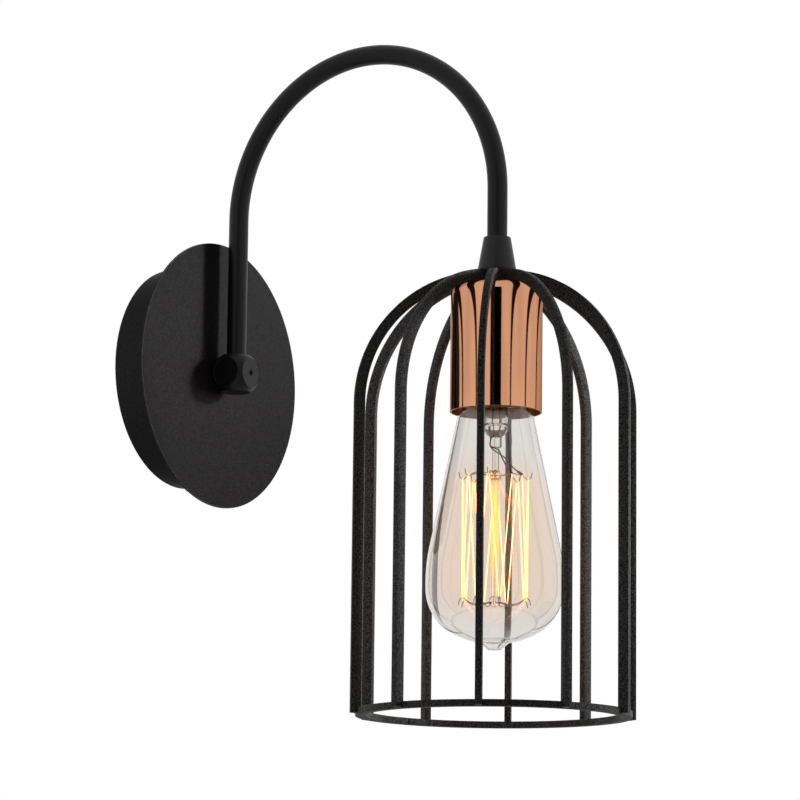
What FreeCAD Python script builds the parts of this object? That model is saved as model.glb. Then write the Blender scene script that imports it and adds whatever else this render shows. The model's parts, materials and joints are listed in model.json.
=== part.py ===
import FreeCAD, Part
import math
import os
import re
import Sketcher
from FreeCAD import Placement, Rotation, Vector

# Cage wall light: a round base on the wall, a hollow arm bent in a high half circle, and a hanging
# head with a copper cup, ten ribs on a slit ring and a squirrel-cage filament bulb.
# +Z is up, the wall is the plane y = 0 and the light stands out from it towards -Y.
# The origin is the centre of the base on the wall.

sizes = {
    # round base
    "pan_diameter": 108, "pan_depth": 22.8, "pan_wall": 1.2, "pan_edge_radius": 1.5,
    "disc_diameter": 130, "disc_thickness": 1.2, "disc_edge_radius": 0.3,
    # wall bracket and the screws through the skirt of the pan
    "bracket_width": 20, "bracket_thickness": 1.5, "bracket_end_gap": 1.5, "bracket_tab_depth": 14,
    "bracket_bend": 1, "slot_pitch": 80, "slot_width": 4.5, "slot_length": 12, "cable_hole": 12,
    "skirt_screw_diameter": 4, "skirt_screw_length": 8, "skirt_head_diameter": 7,
    "skirt_head_height": 2.2, "skirt_screw_setback": 8, "skirt_hole_play": 0.4,
    # earth screw, its washer and its ring lug
    "earth_height": 24, "earth_screw_diameter": 4, "earth_screw_length": 3,
    "earth_head_diameter": 7, "earth_head_height": 2.2,
    "earth_washer_diameter": 9, "earth_washer_thickness": 0.8, "lug_diameter": 8.4,
    "lug_thickness": 0.8, "lug_barrel_diameter": 3.6, "lug_barrel_length": 4, "lug_reach": 9,
    # terminal block
    "block_width": 26, "block_height": 16, "block_depth": 12, "block_drop": 20,
    "pole_pitch": 8, "sleeve_diameter": 4.6, "sleeve_bore": 3, "sleeve_inset": 1,
    "pole_screw_diameter": 2.5, "pole_screw_spacing": 9, "pole_screw_recess": 1.2,
    "fixing_screw_diameter": 2.5, "fixing_screw_length": 11, "fixing_head_diameter": 4.2,
    "fixing_head_height": 1.6, "fixing_recess": 0.4,
    # hollow threaded parts on the M10 x 1 thread
    "thread_diameter": 9.8, "nipple_bore": 7.5, "nipple_tail": 1, "nipple_grip": 4,
    "nut_flats": 14, "nut_thickness": 3, "nut_bevel": 0.4, "washer_diameter": 18, "washer_thickness": 1,
    # knuckle: a cube with its corners turned to a ball
    "knuckle_size": 18, "knuckle_ball": 23, "wire_passage": 7,
    "lock_screw_diameter": 3, "lock_screw_flats": 1.5, "lock_screw_recess": 0.4,
    "lock_socket_depth": 1.6,
    # arm
    "tube_diameter": 9.5, "tube_wall": 1, "tube_window": 6.5, "tube_insert": 6, "arm_tail": 1,
    "arch_radius": 74, "spring_height": 76, "free_leg": 23.5, "arm_thread_length": 24,
    # cone collar
    "cone_height": 16, "cone_top": 12.8, "cone_bottom": 18.3, "cone_edge_radius": 0.4,
    # cage
    "hub_diameter": 18, "hub_height": 7.2, "cage_diameter": 134, "cage_height": 209,
    "dome_radius": 65, "bar_width": 5, "bar_thickness": 3, "rib_count": 10, "rib_phase": 7,
    "ring_width": 5, "ring_height": 3, "foot_depth": 3.3, "foot_lift": 0.5, "slit_width": 0.9,
    "slit_azimuth": 163,
    # copper cup
    "cup_diameter": 43, "cup_height": 59.8, "cup_wall": 0.8, "cup_shoulder": 5, "cup_washer_diameter": 24,
    # lampholder
    "bridge_sheet": 1.2, "bridge_span": 22, "bridge_width": 12, "bridge_height": 13.5,
    "bridge_foot": 6.4, "bridge_bend": 1, "bridge_screw_inset": 3.6, "bridge_screw_diameter": 3,
    "bridge_screw_length": 9, "bridge_head_diameter": 5, "bridge_head_height": 1.9,
    "holder_diameter": 36, "holder_height": 38, "holder_bore": 28.4, "holder_web": 10.5,
    "holder_edge_radius": 0.4,
    "shell_wall": 0.4, "shell_play": 0.2, "shell_drop": 1.2, "shell_length": 24.8, "shell_eye": 14,
    "post_offset": 9, "post_diameter": 6, "post_height": 4.5, "post_bore": 3, "post_bore_depth": 3.5,
    "post_screw_diameter": 2.5, "post_screw_length": 3, "rivet_diameter": 3,
    "leaf_thickness": 0.5, "leaf_width": 5, "leaf_tail": 11, "leaf_tip": 3, "leaf_flat": 4,
    "leaf_lift": 1, "contact_gap": 0.3,
    # insulated wires
    "wire_diameter": 2.2, "wire_spread": 1.4, "wire_bend": 2.2, "earth_wire_diameter": 2.2,
    "wire_grip": 4, "wire_rise": 2, "wire_slant": 1.5, "earth_rise": 3, "earth_climb": 3,
    "wire_exit": 1.8, "wire_end_gap": 1,
    # bulb, measured down from the tip of its cap
    "bulb_length": 142, "bulb_diameter": 64, "button_diameter": 9, "button_height": 1.6,
    "turning_gap": 0.2, "insulator_bottom": 5.6, "insulator_top_diameter": 10,
    "insulator_diameter": 21, "cap_diameter": 26.2, "cap_wall": 0.4, "cap_length": 26.5,
    "cap_rim_diameter": 23, "cap_eye": 18, "cap_shoulder": 8.5,
    "neck_diameter": 24.8, "neck_top": 16, "neck_bottom": 27, "shoulder_diameter": 34.8,
    "shoulder_level": 31, "belly_band_ratio": 0.4375, "belly_base_ratio": 0.119,
    "base_diameter": 22, "flare_diameter": 14.4, "pip_diameter": 5.6, "pip_length": 3.6, "pip_rise": 0.6,
    "glass_wall": 0.8,
    "neck_rounding": 2.5, "shoulder_rounding": 5, "flank_rounding": 80, "belly_rounding": 24,
    "base_rounding": 12, "flare_rounding": 3, "pip_rounding": 1.2,
    # glass stem with its two beads
    "stem_diameter": 11.2, "stem_wall": 0.9, "stem_lip": 1.4, "stem_flare_end": 22,
    "stem_flare_rounding": 6, "stem_bore_end": 38, "stem_bottom": 41, "stem_end_rounding": 4,
    "press_diameter": 5.6, "press_top": 42.6, "press_bottom": 47.8, "press_rounding": 0.8,
    "rod_diameter": 3.3, "bead_diameter": 5.6, "upper_bead": 61, "lower_bead": 119.7,
    "bead_half": 2.6, "bead_band": 2.6, "bead_rounding": 1.5,
    # hooks and filament
    "hook_wire": 0.5, "hook_reach": 14.6, "hook_turn": 2.2, "lower_hooks": 8, "hook_azimuth_step": 42,
    "filament_phase": 72.5, "filament_radius": 15.3, "filament_wire": 0.5, "filament_bend": 0.5,
    "filament_drop": 0.9, "lead_wire": 0.6, "lead_radius": 2.2, "lead_rise": 4,
    # screwdriver slots
    "driver_slot": 0.8, "driver_slot_depth": 0.9, "driver_slot_ratio": 0.75,
    # clearances
    "slide_play": 0.1, "thread_play": 0.1, "running_play": 0.3,
}

# Lengths and places that follow from the sizes above.
derived = {
    "web_y": "pan_depth - pan_wall",
    "knuckle_y": "-(pan_depth + disc_thickness + knuckle_size / 2)",
    "head_y": "knuckle_y - 2 * arch_radius",
    "head_z": "spring_height - free_leg - cone_height",
    "thread_hole": "thread_diameter + 2 * thread_play",
    "pan_inner": "pan_diameter / 2 - pan_wall",
    "bracket_half": "pan_inner - bracket_end_gap",
    "pole_y": "bracket_thickness + block_depth / 2",
    "block_front": "bracket_thickness + block_depth",
    "cage_radius": "cage_diameter / 2",
    "ring_outer": "cage_radius - foot_depth",
    "rib_end": "cage_height - foot_lift",
    "cup_top": "hub_height",
    "cup_bottom": "cup_top + cup_height",
    "bridge_top": "cup_top + cup_wall + washer_thickness",
    "head_nut_top": "bridge_top + bridge_sheet",
    "arm_end": "head_nut_top + nut_thickness + arm_tail",
    "holder_top": "bridge_top + bridge_height",
    "holder_floor": "holder_top + holder_web",
    "bridge_screw_offset": "bridge_span / 2 + bridge_screw_inset",
    "bulb_seat": "holder_floor + leaf_drop + contact_gap",
    "leaf_drop": "leaf_thickness + shell_drop + leaf_lift",
    "shell_outer": "holder_bore / 2 - shell_play",
    "shell_top": "holder_floor + shell_drop",
    "lug_y": "bracket_thickness + earth_washer_thickness",
    "barrel_y": "lug_y + lug_barrel_diameter / 2",
    "pip_top": "bulb_length - pip_length",
    "base_level": "pip_top - pip_rise",
    "belly_bottom": "base_level - bulb_diameter * belly_base_ratio",
    "belly_top": "belly_bottom - bulb_diameter * belly_band_ratio",
    "filament_top": "upper_bead + filament_drop",
    "filament_bottom": "lower_bead - filament_drop",
}

doc = FreeCAD.newDocument("cage_wall_light")
sheet = doc.addObject("Spreadsheet::Sheet", "Sizes")
for row, (alias, number) in enumerate(sizes.items(), start=1):
    sheet.set("A%d" % row, alias)
    sheet.set("B%d" % row, str(number))
    sheet.setAlias("B%d" % row, alias)
doc.recompute()

nodes = []
touching = 1e-4  # edges and planes closer than this are taken as one
word = re.compile(r"[a-z][a-z_0-9]*")


def full(expression):
    # Writes the derived names out and points every size at its cell in the sheet.
    def swap(match):
        name = match.group(0)
        if name in derived:
            return "(" + full(derived[name]) + ")"
        return "Sizes." + name if name in sizes else name
    return word.sub(swap, str(expression))


def value(expression):
    return float(sheet.evalExpression(full(expression)))


def new_body(label, y="0", z="0"):
    body = doc.addObject("PartDesign::Body", label)
    body.Label = label
    body.AllowCompound = True
    body.setExpression("Placement.Base.y", full(y))
    body.setExpression("Placement.Base.z", full(z))
    nodes.append(body)
    return body


def new_sketch(body, role, offset="0"):
    plane = [item for item in body.Origin.OriginFeatures if item.Role == role][0]
    sketch = body.newObject("Sketcher::SketchObject", body.Name + "_sketch")
    sketch.AttachmentSupport = [(plane, "")]
    sketch.MapMode = "FlatFace"
    sketch.setExpression("AttachmentOffset.Base.z", full(offset))
    return sketch


def constrain(sketch, kind, *references, expression=None):
    if expression is None:
        return sketch.addConstraint(Sketcher.Constraint(kind, *references))
    index = sketch.addConstraint(Sketcher.Constraint(kind, *references, value(expression)))
    sketch.setExpression("Constraints[%d]" % index, full(expression))
    return index


def pin(sketch, geometry, point, x, y):
    # Holds a point at x and y from the sketch's origin, or on an axis where the distance is 0.
    for kind, axis, expression in (("DistanceX", -2, x), ("DistanceY", -1, y)):
        if expression == "0":
            constrain(sketch, "PointOnObject", geometry, point, axis)
        else:
            constrain(sketch, kind, -1, 1, geometry, point, expression=expression)


def circle(sketch, diameter, x="0", y="0"):
    centre = Vector(value(x), value(y), 0)
    index = sketch.addGeometry(Part.Circle(centre, Vector(0, 0, 1), value(diameter) / 2), False)
    constrain(sketch, "Diameter", index, expression=diameter)
    pin(sketch, index, 3, x, y)


def hexagon(sketch, flats):
    # Regular hexagon about the sketch's origin, with two flats square to its y axis.
    corner = "(%s) / 2 / cos(30)" % flats
    turns = ((1, 0), (0.5, 1), (-0.5, 1), (-1, 0), (-0.5, -1), (0.5, -1))
    outline(sketch, [("%g * %s" % (cosine, corner), "%g * (%s) / 2" % (sine, flats) if sine else "0")
                     for cosine, sine in turns])


def slot(sketch, width, length, x, y):
    # Upright slot: two half circles joined by two straight sides.
    radius = value(width) / 2
    reach = "((%s) - (%s)) / 2" % (length, width)
    top = Vector(value(x), value("(%s) + %s" % (y, reach)), 0)
    low = Vector(value(x), value("(%s) - %s" % (y, reach)), 0)
    side = Vector(radius, 0, 0)
    arcs = [Part.ArcOfCircle(Part.Circle(top, Vector(0, 0, 1), radius), 0, math.pi),
            Part.ArcOfCircle(Part.Circle(low, Vector(0, 0, 1), radius), math.pi, 2 * math.pi)]
    sides = [Part.LineSegment(top - side, low - side), Part.LineSegment(low + side, top + side)]
    upper, lower, left, right = [sketch.addGeometry(item, False) for item in arcs + sides]
    for first, second in ((upper, left), (left, lower), (lower, right), (right, upper)):
        constrain(sketch, "Tangent", first, 2, second, 1)
    for arc, centre in ((upper, "(%s) + %s" % (y, reach)), (lower, "(%s) - %s" % (y, reach))):
        constrain(sketch, "Radius", arc, expression="(%s) / 2" % width)
        pin(sketch, arc, 3, x, centre)


def outline(sketch, corners):
    # Closed line through the corners, each (x, y) or (x, y, radius of its rounding).
    places = [Vector(value(corner[0]), value(corner[1]), 0) for corner in corners]
    count = len(corners)
    entries, exits, arcs = [], [], {}
    for index, corner in enumerate(corners):
        here = places[index]
        if len(corner) == 2:
            entries.append(here)
            exits.append(here)
            continue
        back = (places[index - 1] - here).normalize()
        ahead = (places[(index + 1) % count] - here).normalize()
        half = back.getAngle(ahead) / 2
        radius = value(corner[2])
        entries.append(here + back * (radius / math.tan(half)))
        exits.append(here + ahead * (radius / math.tan(half)))
        centre = here + (back + ahead).normalize() * (radius / math.sin(half))
        arcs[index] = (centre, radius, back.cross(ahead).z < 0)
    lines = [sketch.addGeometry(Part.LineSegment(exits[index], entries[(index + 1) % count]), False)
             for index in range(count)]
    for index, corner in enumerate(corners):
        before, after = lines[index - 1], lines[index]
        if index not in arcs:
            constrain(sketch, "Coincident", before, 2, after, 1)
            pin(sketch, after, 1, corner[0], corner[1])
            continue
        centre, radius, leftward = arcs[index]
        ends = (entries[index], exits[index]) if leftward else (exits[index], entries[index])
        start, stop = [math.atan2(end.y - centre.y, end.x - centre.x) for end in ends]
        if stop < start:
            stop += 2 * math.pi
        round_corner = Part.ArcOfCircle(Part.Circle(centre, Vector(0, 0, 1), radius), start, stop)
        arc = sketch.addGeometry(round_corner, False)
        mark = sketch.addGeometry(Part.Point(places[index]), True)
        first, last = (1, 2) if leftward else (2, 1)
        constrain(sketch, "Tangent", before, 2, arc, first)
        constrain(sketch, "Tangent", arc, last, after, 1)
        constrain(sketch, "Radius", arc, expression=corner[2])
        constrain(sketch, "PointOnObject", mark, 1, before)
        constrain(sketch, "PointOnObject", mark, 1, after)
        pin(sketch, mark, 1, corner[0], corner[1])


def box_outline(sketch, low_x, high_x, low_y, high_y):
    outline(sketch, [(low_x, low_y), (high_x, low_y), (high_x, high_y), (low_x, high_y)])


def pad(body, sketch, length, symmetric=False, backwards=False):
    feature = body.newObject("PartDesign::Pad", body.Name + "_pad")
    feature.Profile = sketch
    feature.setExpression("Length", full(length))
    feature.Reversed = backwards
    if symmetric:
        feature.SideType = "Symmetric"
    return feature


def pocket(body, sketch, length=None, symmetric=False, backwards=False):
    feature = body.newObject("PartDesign::Pocket", body.Name + "_pocket")
    feature.Profile = sketch
    feature.Reversed = backwards
    if symmetric:
        feature.SideType = "Symmetric"
    if length is None:
        feature.Type = "ThroughAll"
    else:
        feature.setExpression("Length", full(length))
    return feature


def revolve(body, sketch, kind="Revolution"):
    feature = body.newObject("PartDesign::" + kind, body.Name + "_" + kind.lower())
    feature.Profile = sketch
    feature.ReferenceAxis = (sketch, ["V_Axis"])
    feature.Angle = 360
    return feature


def dress(body, base, kind, size, choose):
    # Rounds or bevels the edges of the base feature that the test picks.
    doc.recompute()
    names = ["Edge%d" % number for number, edge in enumerate(base.Shape.Edges, start=1) if choose(edge)]
    feature = body.newObject("PartDesign::" + kind, body.Name + "_" + kind.lower())
    feature.Base = (base, names)
    feature.setExpression("Radius" if kind == "Fillet" else "Size", full(size))
    return feature


def full_circle(edge, radius):
    return (len(edge.Vertexes) == 1 and isinstance(edge.Curve, Part.Circle)
            and abs(edge.Curve.Radius - radius) < touching)


def turned_body(label, corners, y="0", z="0", role="XZ_Plane"):
    # Turned piece: its half section spun about Z, or about Y where the sketch lies on the XY plane.
    body = new_body(label, y, z)
    section = new_sketch(body, role)
    outline(section, corners)
    revolve(body, section)
    return body


def rectangle_section(inner, outer, low, high, rounding=None):
    # Half section of a plain ring between two radii and two levels; the outer high corner may be rounded.
    corner = (outer, high) if rounding is None else (outer, high, rounding)
    return [(inner, low), (outer, low), corner, (inner, high)]


def nut_body(label, y, z, role, backwards=False):
    # Thin hexagon nut on the M10 x 1 thread with its bore bevelled at both ends.
    body = new_body(label, y, z)
    sketch = new_sketch(body, role)
    hexagon(sketch, "nut_flats")
    circle(sketch, "thread_hole")
    blank = pad(body, sketch, "nut_thickness", backwards=backwards)
    bore = value("thread_hole / 2")
    dress(body, blank, "Chamfer", "nut_bevel", lambda edge: full_circle(edge, bore))


def headed_screws(body, role, seat, places, prefix, shank, turned=False):
    # Round-headed screws: the heads stand on the seat and the shanks go in behind it.
    heads = new_sketch(body, role, seat)
    shanks = new_sketch(body, role, seat)
    for x, y in places:
        circle(heads, prefix + "_head_diameter", x, y)
        circle(shanks, shank + "_diameter", x, y)
    blank = pad(body, heads, prefix + "_head_height", backwards=turned)
    plane = new_sketch(body, role, seat + (" - " if turned else " + ") + prefix + "_head_height")
    rim = value(prefix + "_head_diameter / 2")
    doc.recompute()
    level = plane.Placement.Base
    dress(body, blank, "Fillet", prefix + "_head_height / 2",
          lambda edge: full_circle(edge, rim) and on_plane(edge, level, plane))
    pad(body, shanks, shank + "_length", backwards=not turned)
    for x, y in places:
        driver_slot(plane, x, y, prefix + "_head_diameter * driver_slot_ratio / 2")
    pocket(body, plane, "driver_slot_depth", backwards=turned)


def on_plane(edge, level, plane):
    normal = plane.Placement.Rotation.multVec(Vector(0, 0, 1))
    return abs((edge.Curve.Center - level).dot(normal)) < touching


def driver_slot(sketch, x, y, reach):
    box_outline(sketch, "(%s) - %s" % (x, reach), "(%s) + %s" % (x, reach),
                "(%s) - driver_slot / 2" % y, "(%s) + driver_slot / 2" % y)


def bent_rod(points, diameter, bend=0):
    # Round rod along straight runs joined by tangent arcs; a point may carry its own bend radius.
    places = [Vector(*point[:3]) for point in points]
    edges = []
    start = places[0]
    for index in range(1, len(places) - 1):
        here = places[index]
        back = (places[index - 1] - here).normalize()
        ahead = (places[index + 1] - here).normalize()
        half = back.getAngle(ahead) / 2
        radius = points[index][3] if len(points[index]) == 4 else bend
        entry = here + back * (radius / math.tan(half))
        leave = here + ahead * (radius / math.tan(half))
        middle = here + (back + ahead).normalize() * (radius / math.sin(half) - radius)
        if (entry - start).Length > touching:
            edges.append(Part.LineSegment(start, entry).toShape())
        edges.append(Part.Arc(entry, middle, leave).toShape())
        start = leave
    edges.append(Part.LineSegment(start, places[-1]).toShape())
    section = Part.Wire(Part.makeCircle(diameter / 2, places[0], places[1] - places[0]))
    return Part.Wire(edges).makePipeShell([section], True, False)


def rod_node(label, rods, y="0", z="0"):
    # One rod, or a group of separate rods, as a node of its own.
    feature = doc.addObject("Part::Feature", label)
    feature.Label = label
    feature.Shape = rods[0] if len(rods) == 1 else Part.makeCompound(rods)
    feature.Placement = Placement(Vector(0, value(y), value(z)), Rotation())
    nodes.append(feature)


def around(radius, angle, depth):
    # A point at this radius, angle from +X and depth below the frame's origin.
    turn = math.radians(angle)
    return (radius * math.cos(turn), radius * math.sin(turn), -depth)


# Wall bracket: a strip bent forward at both ends, with two slots for the wall screws.
def wall_bracket():
    body = new_body("wall_bracket")
    section = new_sketch(body, "YZ_Plane")
    outer = "bracket_bend + bracket_thickness"
    inside = "bracket_half - bracket_thickness"
    outline(section, [
        ("0", "-bracket_half", outer), ("0", "bracket_half", outer),
        ("-bracket_tab_depth", "bracket_half"), ("-bracket_tab_depth", inside),
        ("-bracket_thickness", inside, "bracket_bend"),
        ("-bracket_thickness", "-(%s)" % inside, "bracket_bend"),
        ("-bracket_tab_depth", "-(%s)" % inside), ("-bracket_tab_depth", "-bracket_half")])
    pad(body, section, "bracket_width", symmetric=True)
    holes = new_sketch(body, "XZ_Plane")
    slot(holes, "slot_width", "slot_length", "0", "slot_pitch / 2")
    slot(holes, "slot_width", "slot_length", "0", "-slot_pitch / 2")
    circle(holes, "cable_hole")
    circle(holes, "earth_screw_diameter + thread_play", "0", "earth_height")
    circle(holes, "fixing_screw_diameter + thread_play", "pole_pitch / 2", "-block_drop")
    pocket(body, holes, "bracket_thickness", backwards=True)
    taps = new_sketch(body, "XY_Plane")
    circle(taps, "skirt_screw_diameter + thread_play", "0", "-skirt_screw_setback")
    pocket(body, taps, symmetric=True)


def skirt_screws():
    body = new_body("skirt_screws")
    place = [("0", "-skirt_screw_setback")]
    headed_screws(body, "XY_Plane", "pan_diameter / 2", place, "skirt", "skirt_screw")
    headed_screws(body, "XY_Plane", "-pan_diameter / 2", place, "skirt", "skirt_screw", turned=True)


# Earth screw through its washer and the eye of the ring lug into the bracket.
def earth_fixing():
    eye = "earth_screw_diameter + 2 * slide_play"
    washer = new_body("earth_washer", "-bracket_thickness", "earth_height")
    flat = new_sketch(washer, "XZ_Plane")
    circle(flat, "earth_washer_diameter")
    circle(flat, eye)
    pad(washer, flat, "earth_washer_thickness")
    screw = new_body("earth_screw", "-lug_y - lug_thickness", "earth_height")
    headed_screws(screw, "XZ_Plane", "0", [("0", "0")], "earth", "earth_screw")
    lug = new_body("earth_lug", "0", "earth_height")
    plate = new_sketch(lug, "XZ_Plane", "lug_y")
    circle(plate, "lug_diameter")
    pad(lug, plate, "lug_thickness")
    tongue = new_sketch(lug, "XZ_Plane", "lug_y")
    box_outline(tongue, "-lug_barrel_diameter / 2", "lug_barrel_diameter / 2",
                "-lug_reach", "-lug_diameter / 4")
    pad(lug, tongue, "lug_thickness")
    barrel = new_sketch(lug, "XY_Plane", "-lug_reach")
    circle(barrel, "lug_barrel_diameter", "0", "-barrel_y")
    pad(lug, barrel, "lug_barrel_length")
    bores = new_sketch(lug, "XY_Plane", "-lug_reach")
    circle(bores, "earth_wire_diameter + thread_play", "0", "-barrel_y")
    pocket(lug, bores, "lug_barrel_length", backwards=True)
    hole = new_sketch(lug, "XZ_Plane", "lug_y")
    circle(hole, eye)
    pocket(lug, hole, "lug_thickness", backwards=True)


# Terminal block with three brass sleeves, their six screws and the screw that holds it on the bracket.
def terminal_block():
    poles = ["-pole_pitch", "0", "pole_pitch"]
    screws = [(x, side + "pole_screw_spacing / 2") for x in poles for side in ("", "-")]
    fixing = ("pole_pitch / 2", "0")
    block = new_body("terminal_block", "0", "-block_drop")
    blank = new_sketch(block, "XZ_Plane", "bracket_thickness")
    box_outline(blank, "-block_width / 2", "block_width / 2", "-block_height / 2", "block_height / 2")
    pad(block, blank, "block_depth")
    ways = new_sketch(block, "XY_Plane")
    for x in poles:
        circle(ways, "sleeve_diameter + slide_play", x, "-pole_y")
    pocket(block, ways, symmetric=True)
    front = new_sketch(block, "XZ_Plane", "block_front")
    for x, y in screws:
        circle(front, "pole_screw_diameter + running_play", x, y)
    pocket(block, front, "block_depth / 2")
    sink = new_sketch(block, "XZ_Plane", "block_front")
    circle(sink, "fixing_head_diameter + running_play", *fixing)
    pocket(block, sink, "fixing_head_height + fixing_recess")
    through = new_sketch(block, "XZ_Plane", "block_front")
    circle(through, "fixing_screw_diameter + thread_play", *fixing)
    pocket(block, through, "block_depth")

    sleeves = new_body("terminal_sleeves", "-pole_y", "-block_drop")
    rings = new_sketch(sleeves, "XY_Plane")
    for x in poles:
        circle(rings, "sleeve_diameter", x)
        circle(rings, "sleeve_bore", x)
    pad(sleeves, rings, "block_height - 2 * sleeve_inset", symmetric=True)
    taps = new_sketch(sleeves, "XZ_Plane")
    for x, y in screws:
        circle(taps, "pole_screw_diameter + thread_play", x, y)
    pocket(sleeves, taps, "sleeve_diameter / 2", backwards=True)

    tips = new_body("terminal_block_screws", "0", "-block_drop")
    tip_level = "pole_y + wire_diameter / 2 + slide_play"
    shanks = new_sketch(tips, "XZ_Plane", tip_level)
    slots = new_sketch(tips, "XZ_Plane", "block_front - pole_screw_recess")
    for x, y in screws:
        circle(shanks, "pole_screw_diameter", x, y)
        driver_slot(slots, x, y, "pole_screw_diameter")
    pad(tips, shanks, "block_front - pole_screw_recess - (%s)" % tip_level)
    pocket(tips, slots, "driver_slot_depth")

    screw = new_body("terminal_fixing_screw", "0", "-block_drop")
    headed_screws(screw, "XZ_Plane", "block_front - fixing_head_height - fixing_recess", [fixing],
                  "fixing", "fixing_screw")


# Round base: a shallow spun pan against the wall and the wider flat disc in front of it.
def round_base():
    hole = "thread_hole / 2"
    pan = turned_body("base_pan", [
        ("pan_inner", "0"), ("pan_diameter / 2", "0"),
        ("pan_diameter / 2", "-pan_depth", "pan_edge_radius"), (hole, "-pan_depth"),
        (hole, "-web_y"), ("pan_inner", "-web_y", "pan_edge_radius - pan_wall / 2")], role="XY_Plane")
    skirt = new_sketch(pan, "XY_Plane")
    circle(skirt, "skirt_screw_diameter + skirt_hole_play", "0", "-skirt_screw_setback")
    pocket(pan, skirt, symmetric=True)
    face = "-(pan_depth + disc_thickness)"
    turned_body("front_disc", [
        (hole, "-pan_depth"), ("disc_diameter / 2", "-pan_depth", "disc_edge_radius"),
        ("disc_diameter / 2", face, "disc_edge_radius"), (hole, face)], role="XY_Plane")


# Hollow nipple that clamps pan, disc and knuckle together through the washer and the locknut.
def base_clamp():
    tail = "-(web_y - washer_thickness - nut_thickness - nipple_tail)"
    nose = "-(pan_depth + disc_thickness + nipple_grip)"
    turned_body("base_nipple", rectangle_section("nipple_bore / 2", "thread_diameter / 2", nose, tail),
                role="XY_Plane")
    turned_body("base_washer", rectangle_section("thread_hole / 2", "washer_diameter / 2", "-web_y",
                "washer_thickness - web_y"), role="XY_Plane")
    nut_body("base_locknut", "washer_thickness - web_y", "0", "XZ_Plane", backwards=True)


# Knuckle: a cube whose corners are turned down to a ball, bored for the nipple, the tube and the wires.
def knuckle():
    def primitive(kind, name, **lengths):
        item = doc.addObject("Part::" + kind, name)
        for prop, expression in lengths.items():
            item.setExpression(prop.replace("_", "."), full(expression))
        return item

    half = "knuckle_size / 2"
    cube = primitive("Box", "knuckle_block", Length="knuckle_size", Width="knuckle_size",
                     Height="knuckle_size", Placement_Base_x="-" + half,
                     Placement_Base_y="-" + half, Placement_Base_z="-" + half)
    ball = primitive("Sphere", "knuckle_ball", Radius="knuckle_ball / 2")
    blank = doc.addObject("Part::Common", "knuckle_blank")
    blank.Base, blank.Tool = cube, ball
    backward = Rotation(Vector(1, 0, 0), -90)
    forward = Rotation(Vector(1, 0, 0), 90)
    socket = primitive("Cylinder", "tube_socket", Radius="tube_diameter / 2 + slide_play / 2",
                       Height="knuckle_size", Placement_Base_z="-tube_insert - slide_play")
    rear = primitive("Cylinder", "nipple_socket", Radius="thread_hole / 2", Height="knuckle_size")
    rear.Placement.Rotation = backward
    rear.setExpression("Placement.Base.y", full(half + " - nipple_grip - slide_play"))
    passage = primitive("Cylinder", "wire_passage", Radius="wire_passage / 2", Height="knuckle_size")
    passage.Placement.Rotation = backward
    front = primitive("Cylinder", "lock_screw_hole", Radius="lock_screw_diameter / 2 + thread_play / 2",
                      Height="knuckle_size")
    front.Placement.Rotation = forward
    cuts = doc.addObject("Part::MultiFuse", "knuckle_cuts")
    cuts.Shapes = [socket, rear, passage, front]
    knuckle_cube = doc.addObject("Part::Cut", "knuckle_cube")
    knuckle_cube.Base, knuckle_cube.Tool = blank, cuts
    knuckle_cube.setExpression("Placement.Base.y", full("knuckle_y"))
    nodes.append(knuckle_cube)

    screw = new_body("arm_lock_screw", "knuckle_y")
    tip = "tube_diameter / 2 + slide_play / 2"
    shank = new_sketch(screw, "XZ_Plane", tip)
    circle(shank, "lock_screw_diameter")
    pad(screw, shank, "knuckle_size / 2 - lock_screw_recess - (%s)" % tip)
    key = new_sketch(screw, "XZ_Plane", "knuckle_size / 2 - lock_screw_recess")
    hexagon(key, "lock_screw_flats")
    pocket(screw, key, "lock_socket_depth")


# Arm: one tube from the knuckle up, over the half circle and down to the head, threaded at its free end.
def arm_tube():
    body = new_body("arm_tube", "knuckle_y")
    path = new_sketch(body, "YZ_Plane")
    foot, spring = "-tube_insert", "spring_height"
    free = "head_z - arm_end"
    centre = Vector(-value("arch_radius"), value(spring), 0)
    span = -2 * value("arch_radius")
    rise = path.addGeometry(Part.LineSegment(Vector(0, value(foot), 0), Vector(0, value(spring), 0)), False)
    arch = path.addGeometry(Part.ArcOfCircle(Part.Circle(centre, Vector(0, 0, 1), value("arch_radius")),
                                             0, math.pi), False)
    fall = path.addGeometry(Part.LineSegment(Vector(span, value(spring), 0),
                                             Vector(span, value(free), 0)), False)
    pin(path, rise, 1, "0", foot)
    pin(path, arch, 3, "-arch_radius", spring)
    constrain(path, "Radius", arch, expression="arch_radius")
    constrain(path, "Tangent", rise, 2, arch, 1)
    constrain(path, "Tangent", arch, 2, fall, 1)
    constrain(path, "DistanceY", -1, 1, fall, 2, expression=free)
    ring = new_sketch(body, "XY_Plane", foot)
    circle(ring, "tube_diameter")
    circle(ring, "tube_diameter - 2 * tube_wall")
    tube = body.newObject("PartDesign::AdditivePipe", "arm_tube_pipe")
    tube.Profile = ring
    tube.Spine = (path, ["Edge1", "Edge2", "Edge3"])
    thread = new_sketch(body, "XY_Plane", free)
    circle(thread, "thread_diameter", "0", "-2 * arch_radius")
    circle(thread, "tube_diameter - 2 * tube_wall", "0", "-2 * arch_radius")
    pad(body, thread, "arm_thread_length")
    window = new_sketch(body, "XZ_Plane")
    circle(window, "tube_window")
    pocket(body, window, "tube_diameter")


def cone_collar():
    turned_body("cone_collar", [
        ("thread_hole / 2", "0"), ("cone_bottom / 2", "0", "cone_edge_radius"),
        ("cone_top / 2", "cone_height", "cone_edge_radius"), ("thread_hole / 2", "cone_height")],
        "head_y", "head_z")


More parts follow.
